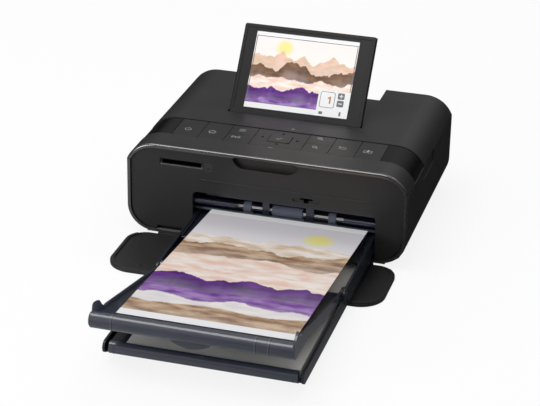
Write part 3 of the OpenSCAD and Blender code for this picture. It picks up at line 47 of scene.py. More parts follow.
back = np.array([math.sin(AZIMUTH) * math.cos(ELEVATION), -math.cos(AZIMUTH) * math.cos(ELEVATION),
                 math.sin(ELEVATION)])
level = np.cross(-back, [0, 0, 1])
level /= np.linalg.norm(level)
upright = np.cross(level, -back)
right = math.cos(ROLL) * level + math.sin(ROLL) * upright
up = -math.sin(ROLL) * level + math.cos(ROLL) * upright
eye = (np.array([0, FRONT, AIM_RISE]) + back * REACH
       - right * (AIM_PX[0] - PICTURE[0] / 2) / LENS_PX * REACH
       + up * (AIM_PX[1] - PICTURE[1] / 2) / LENS_PX * REACH)
shot = bpy.data.cameras.new("catalogue_camera")
shot.sensor_width = SENSOR
shot.lens = LENS_PX / PICTURE[0] * shot.sensor_width
shot.clip_start, shot.clip_end = NEAR, FAR
camera = bpy.data.objects.new("catalogue_camera", shot)
camera.matrix_world = Matrix([*np.column_stack([right, up, back, eye]).tolist(), [0, 0, 0, 1]])
bpy.context.scene.collection.objects.link(camera)
bpy.context.scene.camera = camera
bpy.context.scene.view_settings.view_transform = "Standard"

# ---- floor, lamps and surroundings --------------------------------------------------------------
# A seamless pale sweep under three soft boxes: the main one high in front, whose image runs along
# the polished rim, one high behind and a fill from the left. The camera sees plain white round the
# printer. Mirrored, the studio is bright above and dark near the table, but for a pale patch of
# floor in front on the left.
SWEEP_SHARE, SWEEP_TONE = 0.85, 0.93      # share of the floor that is plain white, tone of the rest
PATCH_X, PATCH_Y = -0.25, -0.25           # middle of the pale patch in metres
PATCH_NEAR, PATCH_FAR = 0.2, 0.46         # it fades between these distances from its middle
PATCH_BRIGHT, PATCH_DIM = 0.45, 0.025     # tones in the patch and round it, as they are mirrored
HALF_FLOOR = 5.0
SKY_FILL = 0.5                            # light of the surroundings on matt faces
SKY_LOW, SKY_HIGH = 0.1, 0.85             # the mirrored sky brightens between these slopes
SKY_DIM, SKY_BRIGHT = 0.02, 0.62


def new_material(name):
    """An empty node material; returns it and its node tree."""
    made = bpy.data.materials.new(name)
    made.use_nodes = True
    made.node_tree.nodes.clear()
    return made, made.node_tree


def node(tree, kind, inputs=None, **settings):
    """Adds a shader node with its settings. Each input, by name or number, is given a value, a
    socket to link, or a node whose first output is linked."""
    made = tree.nodes.new("ShaderNode" + kind)
    for setting, value in settings.items():
        setattr(made, setting, value)
    for socket, value in (inputs or {}).items():
        if isinstance(value, bpy.types.Node):
            value = value.outputs[0]
        if isinstance(value, bpy.types.NodeSocket):
            tree.links.new(value, made.inputs[socket])
        else:
            made.inputs[socket].default_value = value
    return made


def arithmetic(tree, operation, *values):
    """The result of a sum on values or sockets."""
    return node(tree, "Math", dict(enumerate(values)), operation=operation).outputs[0]


def ranged(tree, value, start, end, low=0.0, high=1.0, smooth=True):
    """Carries a value from start..end to low..high, held at the ends, with an S curve if smooth."""
    ends = {"Value": value, "From Min": start, "From Max": end, "To Min": low, "To Max": high}
    curve = "SMOOTHSTEP" if smooth else "LINEAR"
    return node(tree, "MapRange", ends, interpolation_type=curve).outputs["Result"]


def direct(tree, rays):
    """1 for rays from the camera and for those that come through see-through plastic, else 0."""
    return arithmetic(tree, "MAXIMUM", rays.outputs["Is Camera Ray"],
                      rays.outputs["Is Transmission Ray"])


sweep, tree = new_material("pale_sweep")
rays = node(tree, "LightPath")
lit = node(tree, "MixShader", {
    0: arithmetic(tree, "MULTIPLY", direct(tree, rays), SWEEP_SHARE),
    1: node(tree, "BsdfDiffuse", {"Color": (SWEEP_TONE, SWEEP_TONE, SWEEP_TONE, 1)}),
    2: node(tree, "Emission", {"Strength": 1.0})})
place = node(tree, "TexCoord").outputs["Object"]
reach = node(tree, "VectorMath", {0: place, 1: (PATCH_X, PATCH_Y, 0)}, operation="DISTANCE")
mirrored = node(tree, "Emission", {"Strength": ranged(
    tree, reach.outputs["Value"], PATCH_NEAR, PATCH_FAR, PATCH_BRIGHT, PATCH_DIM)})
node(tree, "OutputMaterial", {
    "Surface": node(tree, "MixShader", {0: rays.outputs["Is Glossy Ray"], 1: lit, 2: mirrored})})

floor_corners = np.array([(-1, -1, 0), (1, -1, 0), (1, 1, 0), (-1, 1, 0)]) * HALF_FLOOR
floor_mesh = bpy.data.meshes.new("floor")
floor_mesh.from_pydata(floor_corners.tolist(), [], [(0, 1, 2, 3)])
floor_mesh.materials.append(sweep)
floor = bpy.data.objects.new("floor", floor_mesh)
bpy.context.scene.collection.objects.link(floor)


def soft_box(name, place, towards, width, height, power):
    """A rectangular lamp at place, turned so that its face looks at the point towards. Lengths are
    in metres and its power is in watts."""
    lamp = bpy.data.lights.new(name, "AREA")
    lamp.shape = "RECTANGLE"
    lamp.size, lamp.size_y, lamp.energy = width, height, power
    held = bpy.data.objects.new(name, lamp)
    away = np.array(place, float) - np.array(towards, float)
    away /= np.linalg.norm(away)
    side = np.cross([0, 0, 1], away)
    side /= np.linalg.norm(side)
    top = np.cross(away, side)
    held.matrix_world = Matrix([*np.column_stack([side, top, away, place]).tolist(), [0, 0, 0, 1]])
    bpy.context.scene.collection.objects.link(held)


soft_box("main_box", (-0.3, -0.36, 1.3), (0, 0, 0.05), 1.3, 0.5, 9)
soft_box("rear_box", (0.3, 1.0, 1.3), (0, 0.05, 0.05), 1.2, 0.5, 5)
soft_box("left_fill", (-1.0, -1.2, 0.45), (0, -0.05, 0.05), 0.7, 0.6, 10)

sky = bpy.data.worlds.new("studio")
bpy.context.scene.world = sky
sky.use_nodes = True
tree = sky.node_tree
tree.nodes.clear()
rays = node(tree, "LightPath")
heading = node(tree, "SeparateXYZ", {0: node(tree, "TexCoord").outputs["Generated"]})
around = node(tree, "MixShader", {
    0: rays.outputs["Is Glossy Ray"],
    1: node(tree, "Background", {"Strength": SKY_FILL}),
    2: node(tree, "Background", {
        "Strength": ranged(tree, heading.outputs["Z"], SKY_LOW, SKY_HIGH, SKY_DIM, SKY_BRIGHT)})})
node(tree, "OutputWorld", {"Surface": node(tree, "MixShader", {
    0: direct(tree, rays), 1: around, 2: node(tree, "Background", {"Strength": 1.0})})})

# ---- case shells --------------------------------------------------------------------------------
# The two halves of the case, its front and rear panels, the front cover and the ribbon door are
# injection-moulded ABS, black right through, with a fine spark-eroded grain. The halves are screwed
# together from below, and the rim round their front is polished. The feet are rubber.
BLACK_ABS, PANEL_ABS = (0.017, 0.017, 0.0175), (0.015, 0.015, 0.0155)
POLISHED = 0.000002                       # grain of a polished mould, in metres
NOISE_LOW, NOISE_HIGH = 0.3, 0.7          # most of a noise lies between these
MOULD_SWING = (0.92, 1.1)                 # a plastic's roughness runs between these times its value
CLOUD, CLOUD_DETAIL = 45, 3               # its cloudiness: periods to the metre; octaves
GRAIN_DETAIL = 2                          # octaves of its grain
RIM_DEPTH, RIM_FADE = 1.7 * MM, 0.2 * MM  # how far behind the front the polish ends; half its fade
LACQUER_ROUGH, LACQUER_IOR = 0.2, 1.95


def noise(tree, vector, scale, detail, dimensions="3D"):
    """A cloudy noise from 0 to 1 with scale periods to the metre."""
    place = "W" if dimensions == "1D" else "Vector"
    return node(tree, "TexNoise", {place: vector, "Scale": scale, "Detail": detail},
                noise_dimensions=dimensions).outputs["Fac"]


def blended(tree, share, one, other):
    """Mixes two colours, each three numbers or a socket: one where share is 0, other where 1."""
    one, other = [(*colour, 1) if isinstance(colour, tuple) else colour for colour in (one, other)]
    ends = {"Factor": share, "A": one, "B": other}
    return node(tree, "Mix", ends, data_type="RGBA").outputs["Result"]


def clouded(tree, share, colour, swing):
    """A colour that a noise varies between 1 - swing and 1 + swing times its value."""
    dark, light = (tuple(min(1, c * times) for c in colour) for times in (1 - swing, 1 + swing))
    return blended(tree, share, dark, light)


def moulded(name, colour, rough, grain=0.00002, edge=0.0004, shade=0.12, coat=0.0, pitch=0.0006,
            mirror=0.5, clear=0.0, coat_rough=0.2, polished_to=None):
    """Moulded plastic. Colour is the base colour times a cloudy 1 +- shade; the same 22 mm noise
    moves the roughness; the surface is raised by grain metres with a noise of that pitch in metres,
    and its edges look broken by edge metres. Mirror is the strength of its reflections, coat that
    of a clear layer over it, and clear the share that lets light through. In front of
    y = polished_to the grain and the roughness fade to a lacquer."""
    made, tree = new_material(name)
    place = node(tree, "TexCoord").outputs["Object"]
    cloud = noise(tree, place, CLOUD, CLOUD_DETAIL)
    raised = {"Distance": grain, "Height": noise(tree, place, 1 / pitch, GRAIN_DETAIL)}
    low, high = (min(1, rough * times) for times in MOULD_SWING)
    dull = ranged(tree, cloud, NOISE_LOW, NOISE_HIGH, low, high, smooth=False)
    surface = {"Base Color": clouded(tree, cloud, colour, shade), "Roughness": dull,
               "Specular IOR Level": mirror, "Transmission Weight": clear,
               "Coat Weight": coat, "Coat Roughness": coat_rough}
    if edge:
        raised["Normal"] = node(tree, "Bevel", {"Radius": edge}, samples=4)
    if polished_to is not None:
        depth = node(tree, "SeparateXYZ", {0: place}).outputs["Y"]
        behind = ranged(tree, depth, polished_to - RIM_FADE, polished_to + RIM_FADE)
        raised["Strength"] = behind
        shine = node(tree, "Mix", {"Factor": behind, "A": LACQUER_ROUGH, "B": dull})
        surface["Roughness"] = shine.outputs["Result"]
        surface["Coat Weight"] = arithmetic(tree, "SUBTRACT", 1, behind)
        surface["Coat IOR"] = LACQUER_IOR
    surface["Normal"] = node(tree, "Bump", raised)
    node(tree, "OutputMaterial", {"Surface": node(tree, "BsdfPrincipled", surface)})
    return made


def dress(material, *names):
    """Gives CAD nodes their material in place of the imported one."""
    for name in names:
        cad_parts[name].data.materials.clear()
        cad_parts[name].data.materials.append(material)


rim = FRONT + RIM_DEPTH
dress(moulded("case_black", BLACK_ABS, 0.45, edge=0, polished_to=rim), "bottom_case")
dress(moulded("door_black", BLACK_ABS, 0.45), "rear_panel", "ink_cover")
dress(moulded("cover_black", BLACK_ABS, 0.42), "front_cover")
dress(moulded("panel_black", PANEL_ABS, 0.42, grain=0.00003), "front_panel")
dress(moulded("hood_black", BLACK_ABS, 0.45, edge=0, polished_to=rim), "top_cover")
dress(moulded("foot_grey", (0.02, 0.02, 0.02), 0.75, edge=0.0003), "rubber_feet")

# ---- sheet metal, shafts and screws -------------------------------------------------------------
# Side frames stamped from zinc-plated steel carry ground shafts and pins. The thermal head sits on
# an extruded aluminium heat sink, and the motor is a plated can with a cut brass pinion.
SCRATCHES, SCRATCH_DETAIL = 900, 4        # noise periods to the metre; octaves
METAL_SWING = (0.7, 1.4)                  # a metal's roughness runs between these times its value


def metal(name, colour, rough, brushed=(1, 1, 1), streak=0.25):
    """Metal with fine scratches: a noise stretched by the vector brushed varies the colour by
    streak, and the roughness too."""
    made, tree = new_material(name)
    place = node(tree, "TexCoord").outputs["Object"]
    turned = node(tree, "Mapping", {"Vector": place, "Scale": brushed})
    lines = noise(tree, turned, SCRATCHES, SCRATCH_DETAIL)
    low, high = (rough * times for times in METAL_SWING)
    body = node(tree, "BsdfPrincipled", {
        "Metallic": 1, "Base Color": clouded(tree, lines, colour, streak),
        "Roughness": ranged(tree, lines, 0, 1, low, high, smooth=False)})
    node(tree, "OutputMaterial", {"Surface": body})
    return made


dress(metal("zinc_sheet", (0.6, 0.61, 0.63), 0.35, (1, 0.1, 1)), "left_frame", "right_frame",
      "usb_socket")
dress(metal("ground_steel", (0.86, 0.86, 0.87), 0.2, (0.05, 1, 1), streak=0.08), "feed_shaft",
      "screen_pins", "front_cover_pins", "ink_cover_pins", "tray_pins", "case_screws")
dress(metal("motor_can", (0.55, 0.56, 0.58), 0.3), "feed_motor")
dress(metal("drawn_aluminium", (0.66, 0.67, 0.69), 0.4, (0.03, 1, 1)), "thermal_head")
dress(metal("cut_brass", (0.72, 0.53, 0.24), 0.25), "motor_pinion")

# ---- boards, card reader and sockets ------------------------------------------------------------
# Glass-fibre boards under green solder mask, with a black moulded power socket, and the card
# reader, a bent sheet shell behind the card slot, coloured a dark violet. The pad's gimbal is
# the same black plastic as the socket.
dress(moulded("board_green", (0.012, 0.09, 0.045), 0.3, edge=0, pitch=0.002), "main_board",
      "key_board")
dress(moulded("socket_black", (0.015, 0.015, 0.016), 0.45), "power_socket", "nav_gimbal")
dress(metal("violet_shell", (0.09, 0.05, 0.2), 0.3), "card_reader")

# ---- feed works ---------------------------------------------------------------------------------
# Gears moulded in natural acetal, and rubber rollers cured on steel shafts. The mouth they feed has
# a glossy navy liner, moulded in one with its guide bars.
dress(moulded("acetal", (0.78, 0.76, 0.7), 0.4, shade=0.04), "feed_gear", "platen_gear",
      "idler_gear")
dress(moulded("roller_rubber", (0.10, 0.115, 0.16), 0.5, edge=0.0001), "feed_rollers",
      "pinch_rollers", "platen_roller")
dress(moulded("liner_navy", (0.016, 0.019, 0.036), 0.25, coat=0.5, coat_rough=0.1), "mouth_liner")

# ---- ribbon cassette ----------------------------------------------------------------------------
# A grey moulded case that holds two spools of dye film, which runs from one to the other under the
# thermal head. It is pushed in from the right, behind the ribbon door.
dress(moulded("tub_grey", (0.06, 0.065, 0.075), 0.45), "ribbon_case")
dress(moulded("dye_film", (0.3, 0.05, 0.12), 0.2, shade=0.3), "supply_spool", "takeup_spool",
      "ribbon_film")

# ---- key band and keys --------------------------------------------------------------------------
# A gloss black band over both shoulders, with satin caps in its openings. The signs are printed on
# the caps in a thin pale ink, the pad's four arrows in black, and a minus and a plus on the hood.
KEYS = ("power", "home", "menu", "wireless", "zoom_in", "zoom_out", "back", "print", "ok")
dress(moulded("band_gloss", (0.004, 0.004, 0.005), 0.09, grain=POLISHED, edge=0.0002), "key_band")
dress(moulded("cap_black", (0.014, 0.014, 0.014), 0.45, edge=0.00025), "nav_pad",
      *["key_" + key for key in KEYS])
INK_T = 0.02                              # thickness of the printed ink in mm
KEY_TOP = 62.65                           # the caps' level above the table in mm
OK_TOP, HOOD_TOP = KEY_TOP + 0.2, 63.0


def arc(x, y, r, start, end, steps=20):
    """Points on a circle of radius r round (x, y), from start to end in degrees."""
    turn = np.radians(np.linspace(start, end, steps))
    return np.column_stack([x + r * np.cos(turn), y + r * np.sin(turn)])


def stroke(points, width=0.42, closed=False):
    """A flat line along points: each one is moved half the width to both sides, square to the mean
    of its two neighbouring directions. Returns the corners and the four-sided faces."""
    p = np.asarray(points, float)
    way = np.diff(np.vstack([p, p[:1]]) if closed else p, axis=0)
    way /= np.linalg.norm(way, axis=1)[:, None]
    before = np.roll(way, 1, 0) if closed else np.vstack([way[:1], way])
    after = way if closed else np.vstack([way, way[-1:]])
    mean = before + after
    mean /= np.linalg.norm(mean, axis=1)[:, None]
    side = np.column_stack([-mean[:, 1], mean[:, 0]])
    side *= (width / 2 / np.maximum(0.5, (before * mean).sum(1)))[:, None]
    i = np.arange(len(p) if closed else len(p) - 1)
    j = (i + 1) % len(p)
    return np.vstack([p + side, p - side]), np.column_stack([i, i + len(p), j + len(p), j]).tolist()


def patch(points):
    """A filled outline: its corners, and one face."""
    return np.asarray(points, float), [list(range(len(points)))]


def printed(name, body, material, parts, place):
    """Ink on a flat face: the parts, each corners and faces in mm, carried by the function place
    onto the object, and given the ink's thickness. The signed area of a face is half the sum of the
    cross products of its neighbouring corners. Where it is negative the face is turned round, so
    that all of them look out."""
    corners, faces, start = [], [], 0
    for points, loops in parts:
        for loop in loops:
            x, y = points[loop].T
            outward = (x * np.roll(y, -1) - y * np.roll(x, -1)).sum() > 0
            faces.append([c + start for c in (loop if outward else loop[::-1])])
        corners.append(points)
        start += len(points)
    made = bpy.data.meshes.new(name)
    made.from_pydata((place(np.vstack(corners)) * MM + [0, FRONT, 0]).tolist(), [], faces)
    made.materials.append(material)
    piece = bpy.data.objects.new(name, made)
    bpy.context.scene.collection.objects.link(piece)
    ink = piece.modifiers.new("ink", "SOLIDIFY")
    ink.thickness, ink.offset = INK_T * MM, 1
    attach(piece, body)


def on_level(x, y, z):
    """Puts flat points on a level face at height z, moved by (x, y)."""
    return lambda p: np.column_stack([p[:, 0] + x, p[:, 1] + y, np.full(len(p), z)])


pale_ink = moulded("pale_ink", (0.32, 0.32, 0.33), 0.5, grain=POLISHED, edge=0, shade=0.08)
black_ink = moulded("black_ink", (0.002, 0.002, 0.002), 0.7, grain=POLISHED, edge=0, mirror=0.05)
# the magnifier of both zoom keys: a ring, its handle and the bar of the minus
glass = [stroke(arc(-0.5, 0.4, 1.35, 0, 342, 24), closed=True),
         stroke([(0.5, -0.6), (1.9, -2.0)], 0.55), stroke([(-1.15, 0.4), (0.15, 0.4)], 0.32)]
# each key's sign: where its middle is in mm, and its lines and patches round that
SIGNS = {
    "power": (-59.6, 31.1, [stroke(arc(0, 0, 1.9, 122, 418, 30)), stroke([(0, 0.3), (0, 2.5)])]),
    "home": (-43.6, 31.3, [
        stroke([(-2.5, 0.1), (0, 2.3), (2.5, 0.1)]),
        stroke([(-1.7, 0.4), (-1.7, -2), (1.7, -2), (1.7, 0.4)]),
        stroke([(-0.5, -2), (-0.5, -0.6), (0.5, -0.6), (0.5, -2)], 0.3)]),
    "menu": (-26.2, 39.6, [stroke([(-2, y), (2, y)], 0.45) for y in (-1.4, 0, 1.4)]),
    "wireless": (-27.4, 27.5, [
        stroke([(0, -1.2), (0, 0.5)], 0.5), patch(arc(0, 0.9, 0.55, 0, 345, 16)),
        *[stroke(arc(0, 0.7, r, mid - 42, mid + 42, 12)) for r in (1.6, 2.6) for mid in (0, 180)]]),
    "zoom_in": (24.0, 42.0, glass + [stroke([(-0.5, -0.25), (-0.5, 1.05)], 0.32)]),
    "zoom_out": (24.2, 28.0, glass),
    "back": (40.6, 31.9, [
        stroke(np.vstack([[(-1.6, 1.3)], arc(1.0, 0, 1.3, 90, -90, 14), [(-2.2, -1.3)]])),
        patch([(-2.9, 1.3), (-1.4, 0.3), (-1.4, 2.3)])]),
    "print": (56.9, 31.7, [
        stroke([(-1.1, 0.9), (-2.5, 0.9), (-2.5, -1.9), (2.5, -1.9), (2.5, 0.9), (1.1, 0.9)]),
        patch([(-1.5, 0.3), (0, -1.1), (1.5, 0.3), (0.55, 0.3), (0.55, 2.4), (-0.55, 2.4),
               (-0.55, 0.3)])]),
}
for key, (x, y, parts) in SIGNS.items():
    printed("sign_" + key, "key_" + key + "_cap", pale_ink, parts,
            on_level(x, y, KEY_TOP))
printed("sign_ok", "key_ok_cap", pale_ink,
        [stroke([(-1.5, 0.1), (-0.4, -1.1), (1.7, 1.3)], 0.5)], on_level(-0.6, 33.4, OK_TOP))
# the pad's arrows: one tip, turned by quarters of a circle, and where each stands
tip = np.array([(-1.4, -0.9), (1.4, -0.9), (0, 1.1)])
quarter = np.array([(0, 1), (-1, 0)])
ARROWS = [(0, 41.9, 0), (-11.6, 33.5, 1), (0, 25.0, 2), (11.4, 33.5, 3)]
printed("pad_arrows", "pad", black_ink,
        [patch(tip @ np.linalg.matrix_power(quarter, turns) + (x, y)) for x, y, turns in ARROWS],
        on_level(0, 0, KEY_TOP))
printed("copy_signs", "case", pale_ink,
        [stroke([(-3.4, 18.0), (-0.6, 18.0)], 0.5), stroke([(2.6, 50.6), (5.0, 50.6)], 0.45),
         stroke([(3.8, 49.4), (3.8, 51.8)], 0.45)], on_level(0, 0, HOOD_TOP))

# ---- card sign ----------------------------------------------------------------------------------
# A small picture of a memory card beside the card slot, with three of its contacts. It is printed
# on the front panel in a dark grey that hardly shows.
PANEL_FACE = 1.2                          # the panel's face lies this far behind the rim, in mm
CARD = [(-38.4, 49.2), (-34.8, 49.2), (-34.8, 52.6), (-35.8, 53.6), (-38.4, 53.6)]
CONTACTS = (-37.5, -36.7, -35.9)
grey_ink = moulded("grey_ink", (0.05, 0.05, 0.05), 0.6, grain=POLISHED, edge=0)
printed("sign_card", "case", grey_ink,
        [stroke(CARD, 0.35, closed=True),
         *[stroke([(x, 51.6), (x, 52.7)], 0.35) for x in CONTACTS]],
        lambda p: np.column_stack([p[:, 0], np.full(len(p), PANEL_FACE), p[:, 1]]))

# ---- screen -------------------------------------------------------------------------------------
# A bevelled frame of black ABS, closed by a back shell, round a display with a black printed mask.
# The display shows a picture, two white bars, and a counter with its plus and minus boxes.
TILT = math.radians(53.5)
AXIS_Y, AXIS_Z = 69.5, 58.5               # mm from the front and the table to the hinge's axis
LCD_X, LCD_MID, LCD_FACE = -0.8, 32.15, 3.75     # the display's middle from that axis, in mm
LCD_W, LCD_H = 68.5, 51.3
SCREEN_ABS = (0.014, 0.0132, 0.0134)
dress(moulded("frame_black", SCREEN_ABS, 0.34, edge=0.0002, mirror=0.22), "screen_frame",
      "screen_back")
dress(moulded("mask_black", SCREEN_ABS, 0.34, grain=POLISHED, edge=0, mirror=0.22), "screen_mask")


def on_screen(p, over=0.0):
    """Puts flat points on the display: x across, y up the tilted face, ink side outwards, and the
    distance over in mm above the face."""
    y, out = p[:, 1] + LCD_MID, LCD_FACE + over
    return np.column_stack([p[:, 0] + LCD_X, AXIS_Y + y * math.cos(TILT) - out * math.sin(TILT),
                            AXIS_Z + y * math.sin(TILT) + out * math.cos(TILT)])


SKY_NOISE, SKY_DETAIL = 30, 3             # the sky's noise: periods to the metre; octaves
SKY_SWING, SKY_RISE = 0.03, 0.08          # how far it pushes the sky's blend; the blend's height
SUN_CORE = 0.4                            # share of the sun's radius where it is full
CREST_DETAIL = 4                          # octaves of a skyline
HILL_NOISE, HILL_DETAIL = 60, 6           # a hill's noise: periods to the metre; octaves
HILL_SQUASH = 2.6                         # how much flatter than wide that noise is
HAZE, HAZE_DEPTH = 0.28, 0.03             # mist on a hill; metres down to where it is full
PAPER_WHITE, PAPER_EDGE = (0.83, 0.83, 0.85), 0.0001     # the margin; metres of the print's edge
PRINT_MIRROR = 0.35


def landscape(name, across, upward, middle, layers, sky, sun, glow=0.0, gloss=0.3, margin=None,
              pitch=1.0):
    """A made-up picture of hills. u and v are the distances from middle along the unit vectors
    across and upward, in metres. Each layer (level, swing, wave, seed, colour, other colour,
    softness) covers what lies below its skyline, which is level plus swing times a noise of u, less
    a half, with that wave in metres; its own two colours are mixed by a finer noise, and mist
    thickens down its slope. The sky runs between two colours, with a soft round sun (x, y, radius,
    colour). Past margin, a half length, the paper is white. Glow is the light of its own, gloss the
    roughness, and a larger pitch makes all its noises finer."""
    made, tree = new_material(name)
    place = node(tree, "TexCoord").outputs["Object"]

    def measured(direction):
        along = node(tree, "VectorMath", {0: place, 1: direction}, operation="DOT_PRODUCT")
        start = float(np.dot(direction, middle))
        return arithmetic(tree, "SUBTRACT", along.outputs["Value"], start)

    u, v = measured(across), measured(upward)
    flat = node(tree, "CombineXYZ", {"X": u, "Y": v})
    drift = noise(tree, flat, SKY_NOISE * pitch, SKY_DETAIL)
    push = arithmetic(tree, "MULTIPLY", drift, SKY_SWING)
    colour = blended(tree, ranged(tree, arithmetic(tree, "ADD", v, push), 0.0, SKY_RISE), *sky)
    sun_x, sun_y, sun_r, sun_colour = sun
    away = node(tree, "VectorMath", {0: flat, 1: (sun_x, sun_y, 0)}, operation="DISTANCE")
    disc = ranged(tree, away.outputs["Value"], sun_r, sun_r * SUN_CORE)
    colour = blended(tree, disc, colour, sun_colour)
    for low, swing, wave, seed, one, other, soft in layers:
        crest = noise(tree, arithmetic(tree, "ADD", u, seed), 1 / wave, CREST_DETAIL, "1D")
        skyline = arithmetic(tree, "MULTIPLY_ADD", crest, swing, low - swing / 2)
        depth = arithmetic(tree, "SUBTRACT", skyline, v)
        stretched = node(tree, "Mapping", {
            "Vector": flat, "Scale": (1, HILL_SQUASH, 1), "Location": (seed, 0, 0)})
        mottle = noise(tree, stretched, HILL_NOISE * pitch, HILL_DETAIL)
        own = blended(tree, ranged(tree, mottle, NOISE_LOW, NOISE_HIGH), one, other)
        mist = arithmetic(tree, "MULTIPLY", ranged(tree, depth, 0.0, HAZE_DEPTH / pitch), HAZE)
        own = blended(tree, mist, own, sky[1])
        colour = blended(tree, ranged(tree, depth, -soft, soft), colour, own)
    if margin:
        from_middle = arithmetic(tree, "ABSOLUTE", v)
        outside = ranged(tree, from_middle, margin, margin + PAPER_EDGE, smooth=False)
        colour = blended(tree, outside, colour, PAPER_WHITE)
    surface = {"Base Color": colour, "Roughness": gloss, "Specular IOR Level": PRINT_MIRROR}
    if glow:
        surface.update({"Emission Color": colour, "Emission Strength": glow})
    node(tree, "OutputMaterial", {"Surface": node(tree, "BsdfPrincipled", surface)})
    return made


PALE, CREAM, STRAW = (0.68, 0.66, 0.70), (0.86, 0.80, 0.74), (0.78, 0.72, 0.28)
SAND, ROSE = (0.60, 0.44, 0.30), (0.78, 0.52, 0.42)
BROWN, UMBER = (0.22, 0.11, 0.05), (0.09, 0.045, 0.025)
VIOLET, PLUM, LILAC = (0.13, 0.02, 0.26), (0.045, 0.008, 0.10), (0.36, 0.22, 0.50)
SCREEN_UP = (0, math.cos(TILT), math.sin(TILT))
screen_middle = on_screen(np.array([[0.0, 0.0]]))[0] * MM + [0, FRONT, 0]
DISPLAY_HILLS = [
    (0.010, 0.016, 0.012, 0.31, SAND, ROSE, 0.0004),
    (0.003, 0.022, 0.018, 0.77, BROWN, UMBER, 0.0003),
    (-0.004, 0.012, 0.020, 1.93, CREAM, ROSE, 0.0004),
    (-0.011, 0.012, 0.014, 2.61, VIOLET, PLUM, 0.0003),
    (-0.019, 0.008, 0.016, 3.37, LILAC, VIOLET, 0.0004),
]
dress(landscape("display_hills", (1, 0, 0), SCREEN_UP, screen_middle, DISPLAY_HILLS, (CREAM, PALE),
                (-0.014, 0.016, 0.007, STRAW), glow=0.2, gloss=0.2, pitch=2.0), "lcd_panel")

LIT_GRAIN = 0.000001                      # grain of the signs on the display, in metres
lit_white = moulded("lit_white", (0.9, 0.9, 0.91), 0.2, grain=LIT_GRAIN, edge=0, shade=0.02)
lit_grey = moulded("lit_grey", (0.16, 0.16, 0.18), 0.2, grain=LIT_GRAIN, edge=0)
lit_orange = moulded("lit_orange", (0.60, 0.20, 0.04), 0.2, grain=LIT_GRAIN, edge=0)


def rounded(x0, y0, x1, y1, r):
    """Corners of an upright rectangle with round corners."""
    low_x, high_x, low_y, high_y = x0 + r, x1 - r, y0 + r, y1 - r
    corners = ((high_x, high_y, 0), (low_x, high_y, 90), (low_x, low_y, 180), (high_x, low_y, 270))
    return np.vstack([arc(x, y, r, start, start + 90, 6) for x, y, start in corners])


half_w, half_h = LCD_W / 2, LCD_H / 2
BAR_TOP, BAR_FOOT, BAR_SIDE = 2.6, 3.6, 0.7      # the white bars' heights, and the margin beside
LINE = 0.45                               # width of the grey lines inside them
PANEL_X, PANEL_Y, PANEL_CUT = 13.4, -8.2, 1.5    # the counter panel's upper left corner, cut off
inner_w, top_y, foot_y = half_w - BAR_SIDE, half_h - BAR_TOP, -half_h + BAR_FOOT
printed("display_bars", "screen", lit_white,
        [patch([(-half_w, top_y), (half_w, top_y), (half_w, half_h), (-half_w, half_h)]),
         patch([(-half_w, -half_h), (half_w, -half_h), (half_w, foot_y), (-half_w, foot_y)]),
         patch([(PANEL_X, foot_y), (half_w, foot_y), (half_w, PANEL_Y),
                (PANEL_X + PANEL_CUT, PANEL_Y), (PANEL_X, PANEL_Y - PANEL_CUT)])], on_screen)
printed("display_lines", "screen", lit_grey,
        [stroke([(-inner_w, top_y - LINE / 2), (inner_w, top_y - LINE / 2)], LINE),
         stroke([(-inner_w, foot_y + LINE / 2), (PANEL_X, foot_y + LINE / 2)], LINE),
         stroke([(-inner_w, top_y), (-inner_w, foot_y)], LINE),
         stroke([(inner_w, top_y), (inner_w, PANEL_Y)], LINE)], on_screen)
OVER = 0.03                               # each layer of ink on the panel lies this much higher
printed("display_keys", "screen", lit_grey,
        [patch(rounded(26.2, -13.4, 30.6, -9.2, 0.7)),
         patch(rounded(26.2, -18.4, 30.6, -14.2, 0.7)),
         stroke(rounded(15.0, -19.6, 24.4, -9.4, 1.2), 0.35, closed=True),
         patch(rounded(15.4, -24.4, 17.8, -22.6, 0.3)),
         patch(rounded(28.6, -24.4, 29.8, -21.6, 0.3))], lambda p: on_screen(p, OVER))
printed("display_count", "screen", lit_orange,
        [patch([(20.9, -17.0), (21.9, -17.0), (21.9, -12.2), (21.1, -12.2), (19.9, -13.2),
                (19.9, -14.1), (20.9, -13.5)])], lambda p: on_screen(p, OVER))
printed("display_marks", "screen", lit_white,
        [stroke([(27.2, -11.3), (29.6, -11.3)], 0.6), stroke([(28.4, -12.5), (28.4, -10.1)], 0.6),
         stroke([(27.2, -16.3), (29.6, -16.3)], 0.6)], lambda p: on_screen(p, 2 * OVER))

# ---- paper cassette, tray and sheet -------------------------------------------------------------
# The cassette is dark navy ABS and is pushed in under the mouth; its front bar and the tray, which
# turns on two pins, are smoky see-through plastic. The sheet is a glossy dye print with white ends
# that tear off.
SMOKE_GRAIN = 0.0000004                   # grain of the clear plastic's polished mould, in metres
RINGS = (-35.6, 45.5, 53.0)               # where the raised rings round the bar begin, in mm
RING_HALF = 0.28                          # half the width of a ring edge's painted highlight or painted shade, in mm
# colours of the painted highlight and the painted shade on the rings' edges
RING_PAINTED_HIGHLIGHT, RING_PAINTED_SHADE = (0.16, 0.17, 0.2), (0.012, 0.014, 0.02)


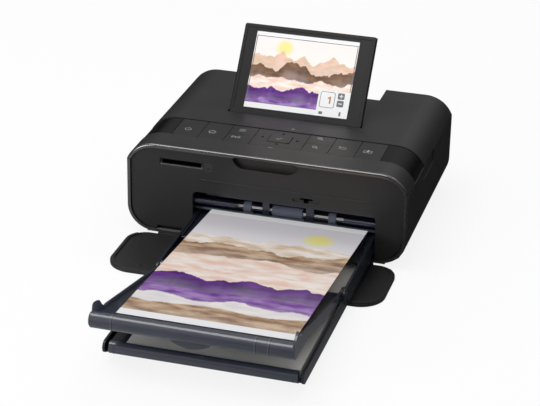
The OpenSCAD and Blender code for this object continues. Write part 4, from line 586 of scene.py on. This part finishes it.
def ring_painted_light(made):
    """Paints light and shade on the rings' edges into a material: a painted highlight where Object
    X is within RING_HALF of a ring's start, and a painted shade for as much again on its right."""
    tree = made.node_tree
    base = next(n for n in tree.nodes if n.type == "BSDF_PRINCIPLED").inputs["Base Color"]
    colour = base.links[0].from_socket
    across = node(tree, "SeparateXYZ", {0: node(tree, "TexCoord").outputs["Object"]}).outputs["X"]
    for shift, tone in ((0, RING_PAINTED_HIGHLIGHT), (2 * RING_HALF, RING_PAINTED_SHADE)):
        for ring in RINGS:
            near = arithmetic(tree, "COMPARE", across, (ring + shift) * MM, RING_HALF * MM)
            colour = blended(tree, near, colour, tone)
    tree.links.new(colour, base)
    return made


dress(moulded("cassette_navy", (0.012, 0.014, 0.022), 0.3), "cassette_base", "cassette_lid")
dress(moulded("front_smoke", (0.035, 0.041, 0.06), 0.3, grain=SMOKE_GRAIN, coat=1.0, coat_rough=0.1,
              edge=0), "cassette_front")
# the tray's smoky plastic, with a painted highlight and a painted shade along the rings' edges
dress(ring_painted_light(moulded("tray_smoke", (0.05, 0.062, 0.1), 0.4, grain=SMOKE_GRAIN, clear=0.6, coat=1.0,
                     coat_rough=0.1, edge=0)), "output_tray")
dress(moulded("blank_paper", (0.74, 0.73, 0.70), 0.7, edge=0, shade=0.05), "paper_stack")
SLOPE = math.radians(5.0186)              # the sheet's slope on the tray
SHEET_END, SHEET_L = 1.7, 171.5           # where its rear end lies, and its length, in mm
SHEET_X, SHEET_Z = 15.6, 31.0             # its middle's x and height, in mm
SHEET_UP = (0, math.cos(SLOPE), -math.sin(SLOPE))
sheet_y = SHEET_END - SHEET_L / 2 * math.cos(SLOPE)
sheet_middle = np.array([SHEET_X, sheet_y, SHEET_Z]) * MM + [0, FRONT, 0]
PRINTED_HILLS = [
    (0.044, 0.026, 0.034, 0.13, SAND, CREAM, 0.0012),
    (0.030, 0.034, 0.040, 5.41, BROWN, SAND, 0.0006),
    (0.012, 0.026, 0.050, 2.23, CREAM, ROSE, 0.0010),
    (-0.006, 0.022, 0.036, 7.17, ROSE, CREAM, 0.0008),
    (-0.020, 0.026, 0.030, 4.59, VIOLET, PLUM, 0.0006),
    (-0.040, 0.018, 0.044, 8.83, LILAC, VIOLET, 0.0008),
    (-0.052, 0.014, 0.024, 6.29, PALE, CREAM, 0.0010),
    (-0.062, 0.010, 0.030, 9.71, SAND, BROWN, 0.0008),
]
dress(landscape("printed_hills", (1, 0, 0), SHEET_UP, sheet_middle, PRINTED_HILLS, (CREAM, PALE),
                (0.026, 0.058, 0.012, STRAW), gloss=0.22, margin=0.0785), "print_sheet")
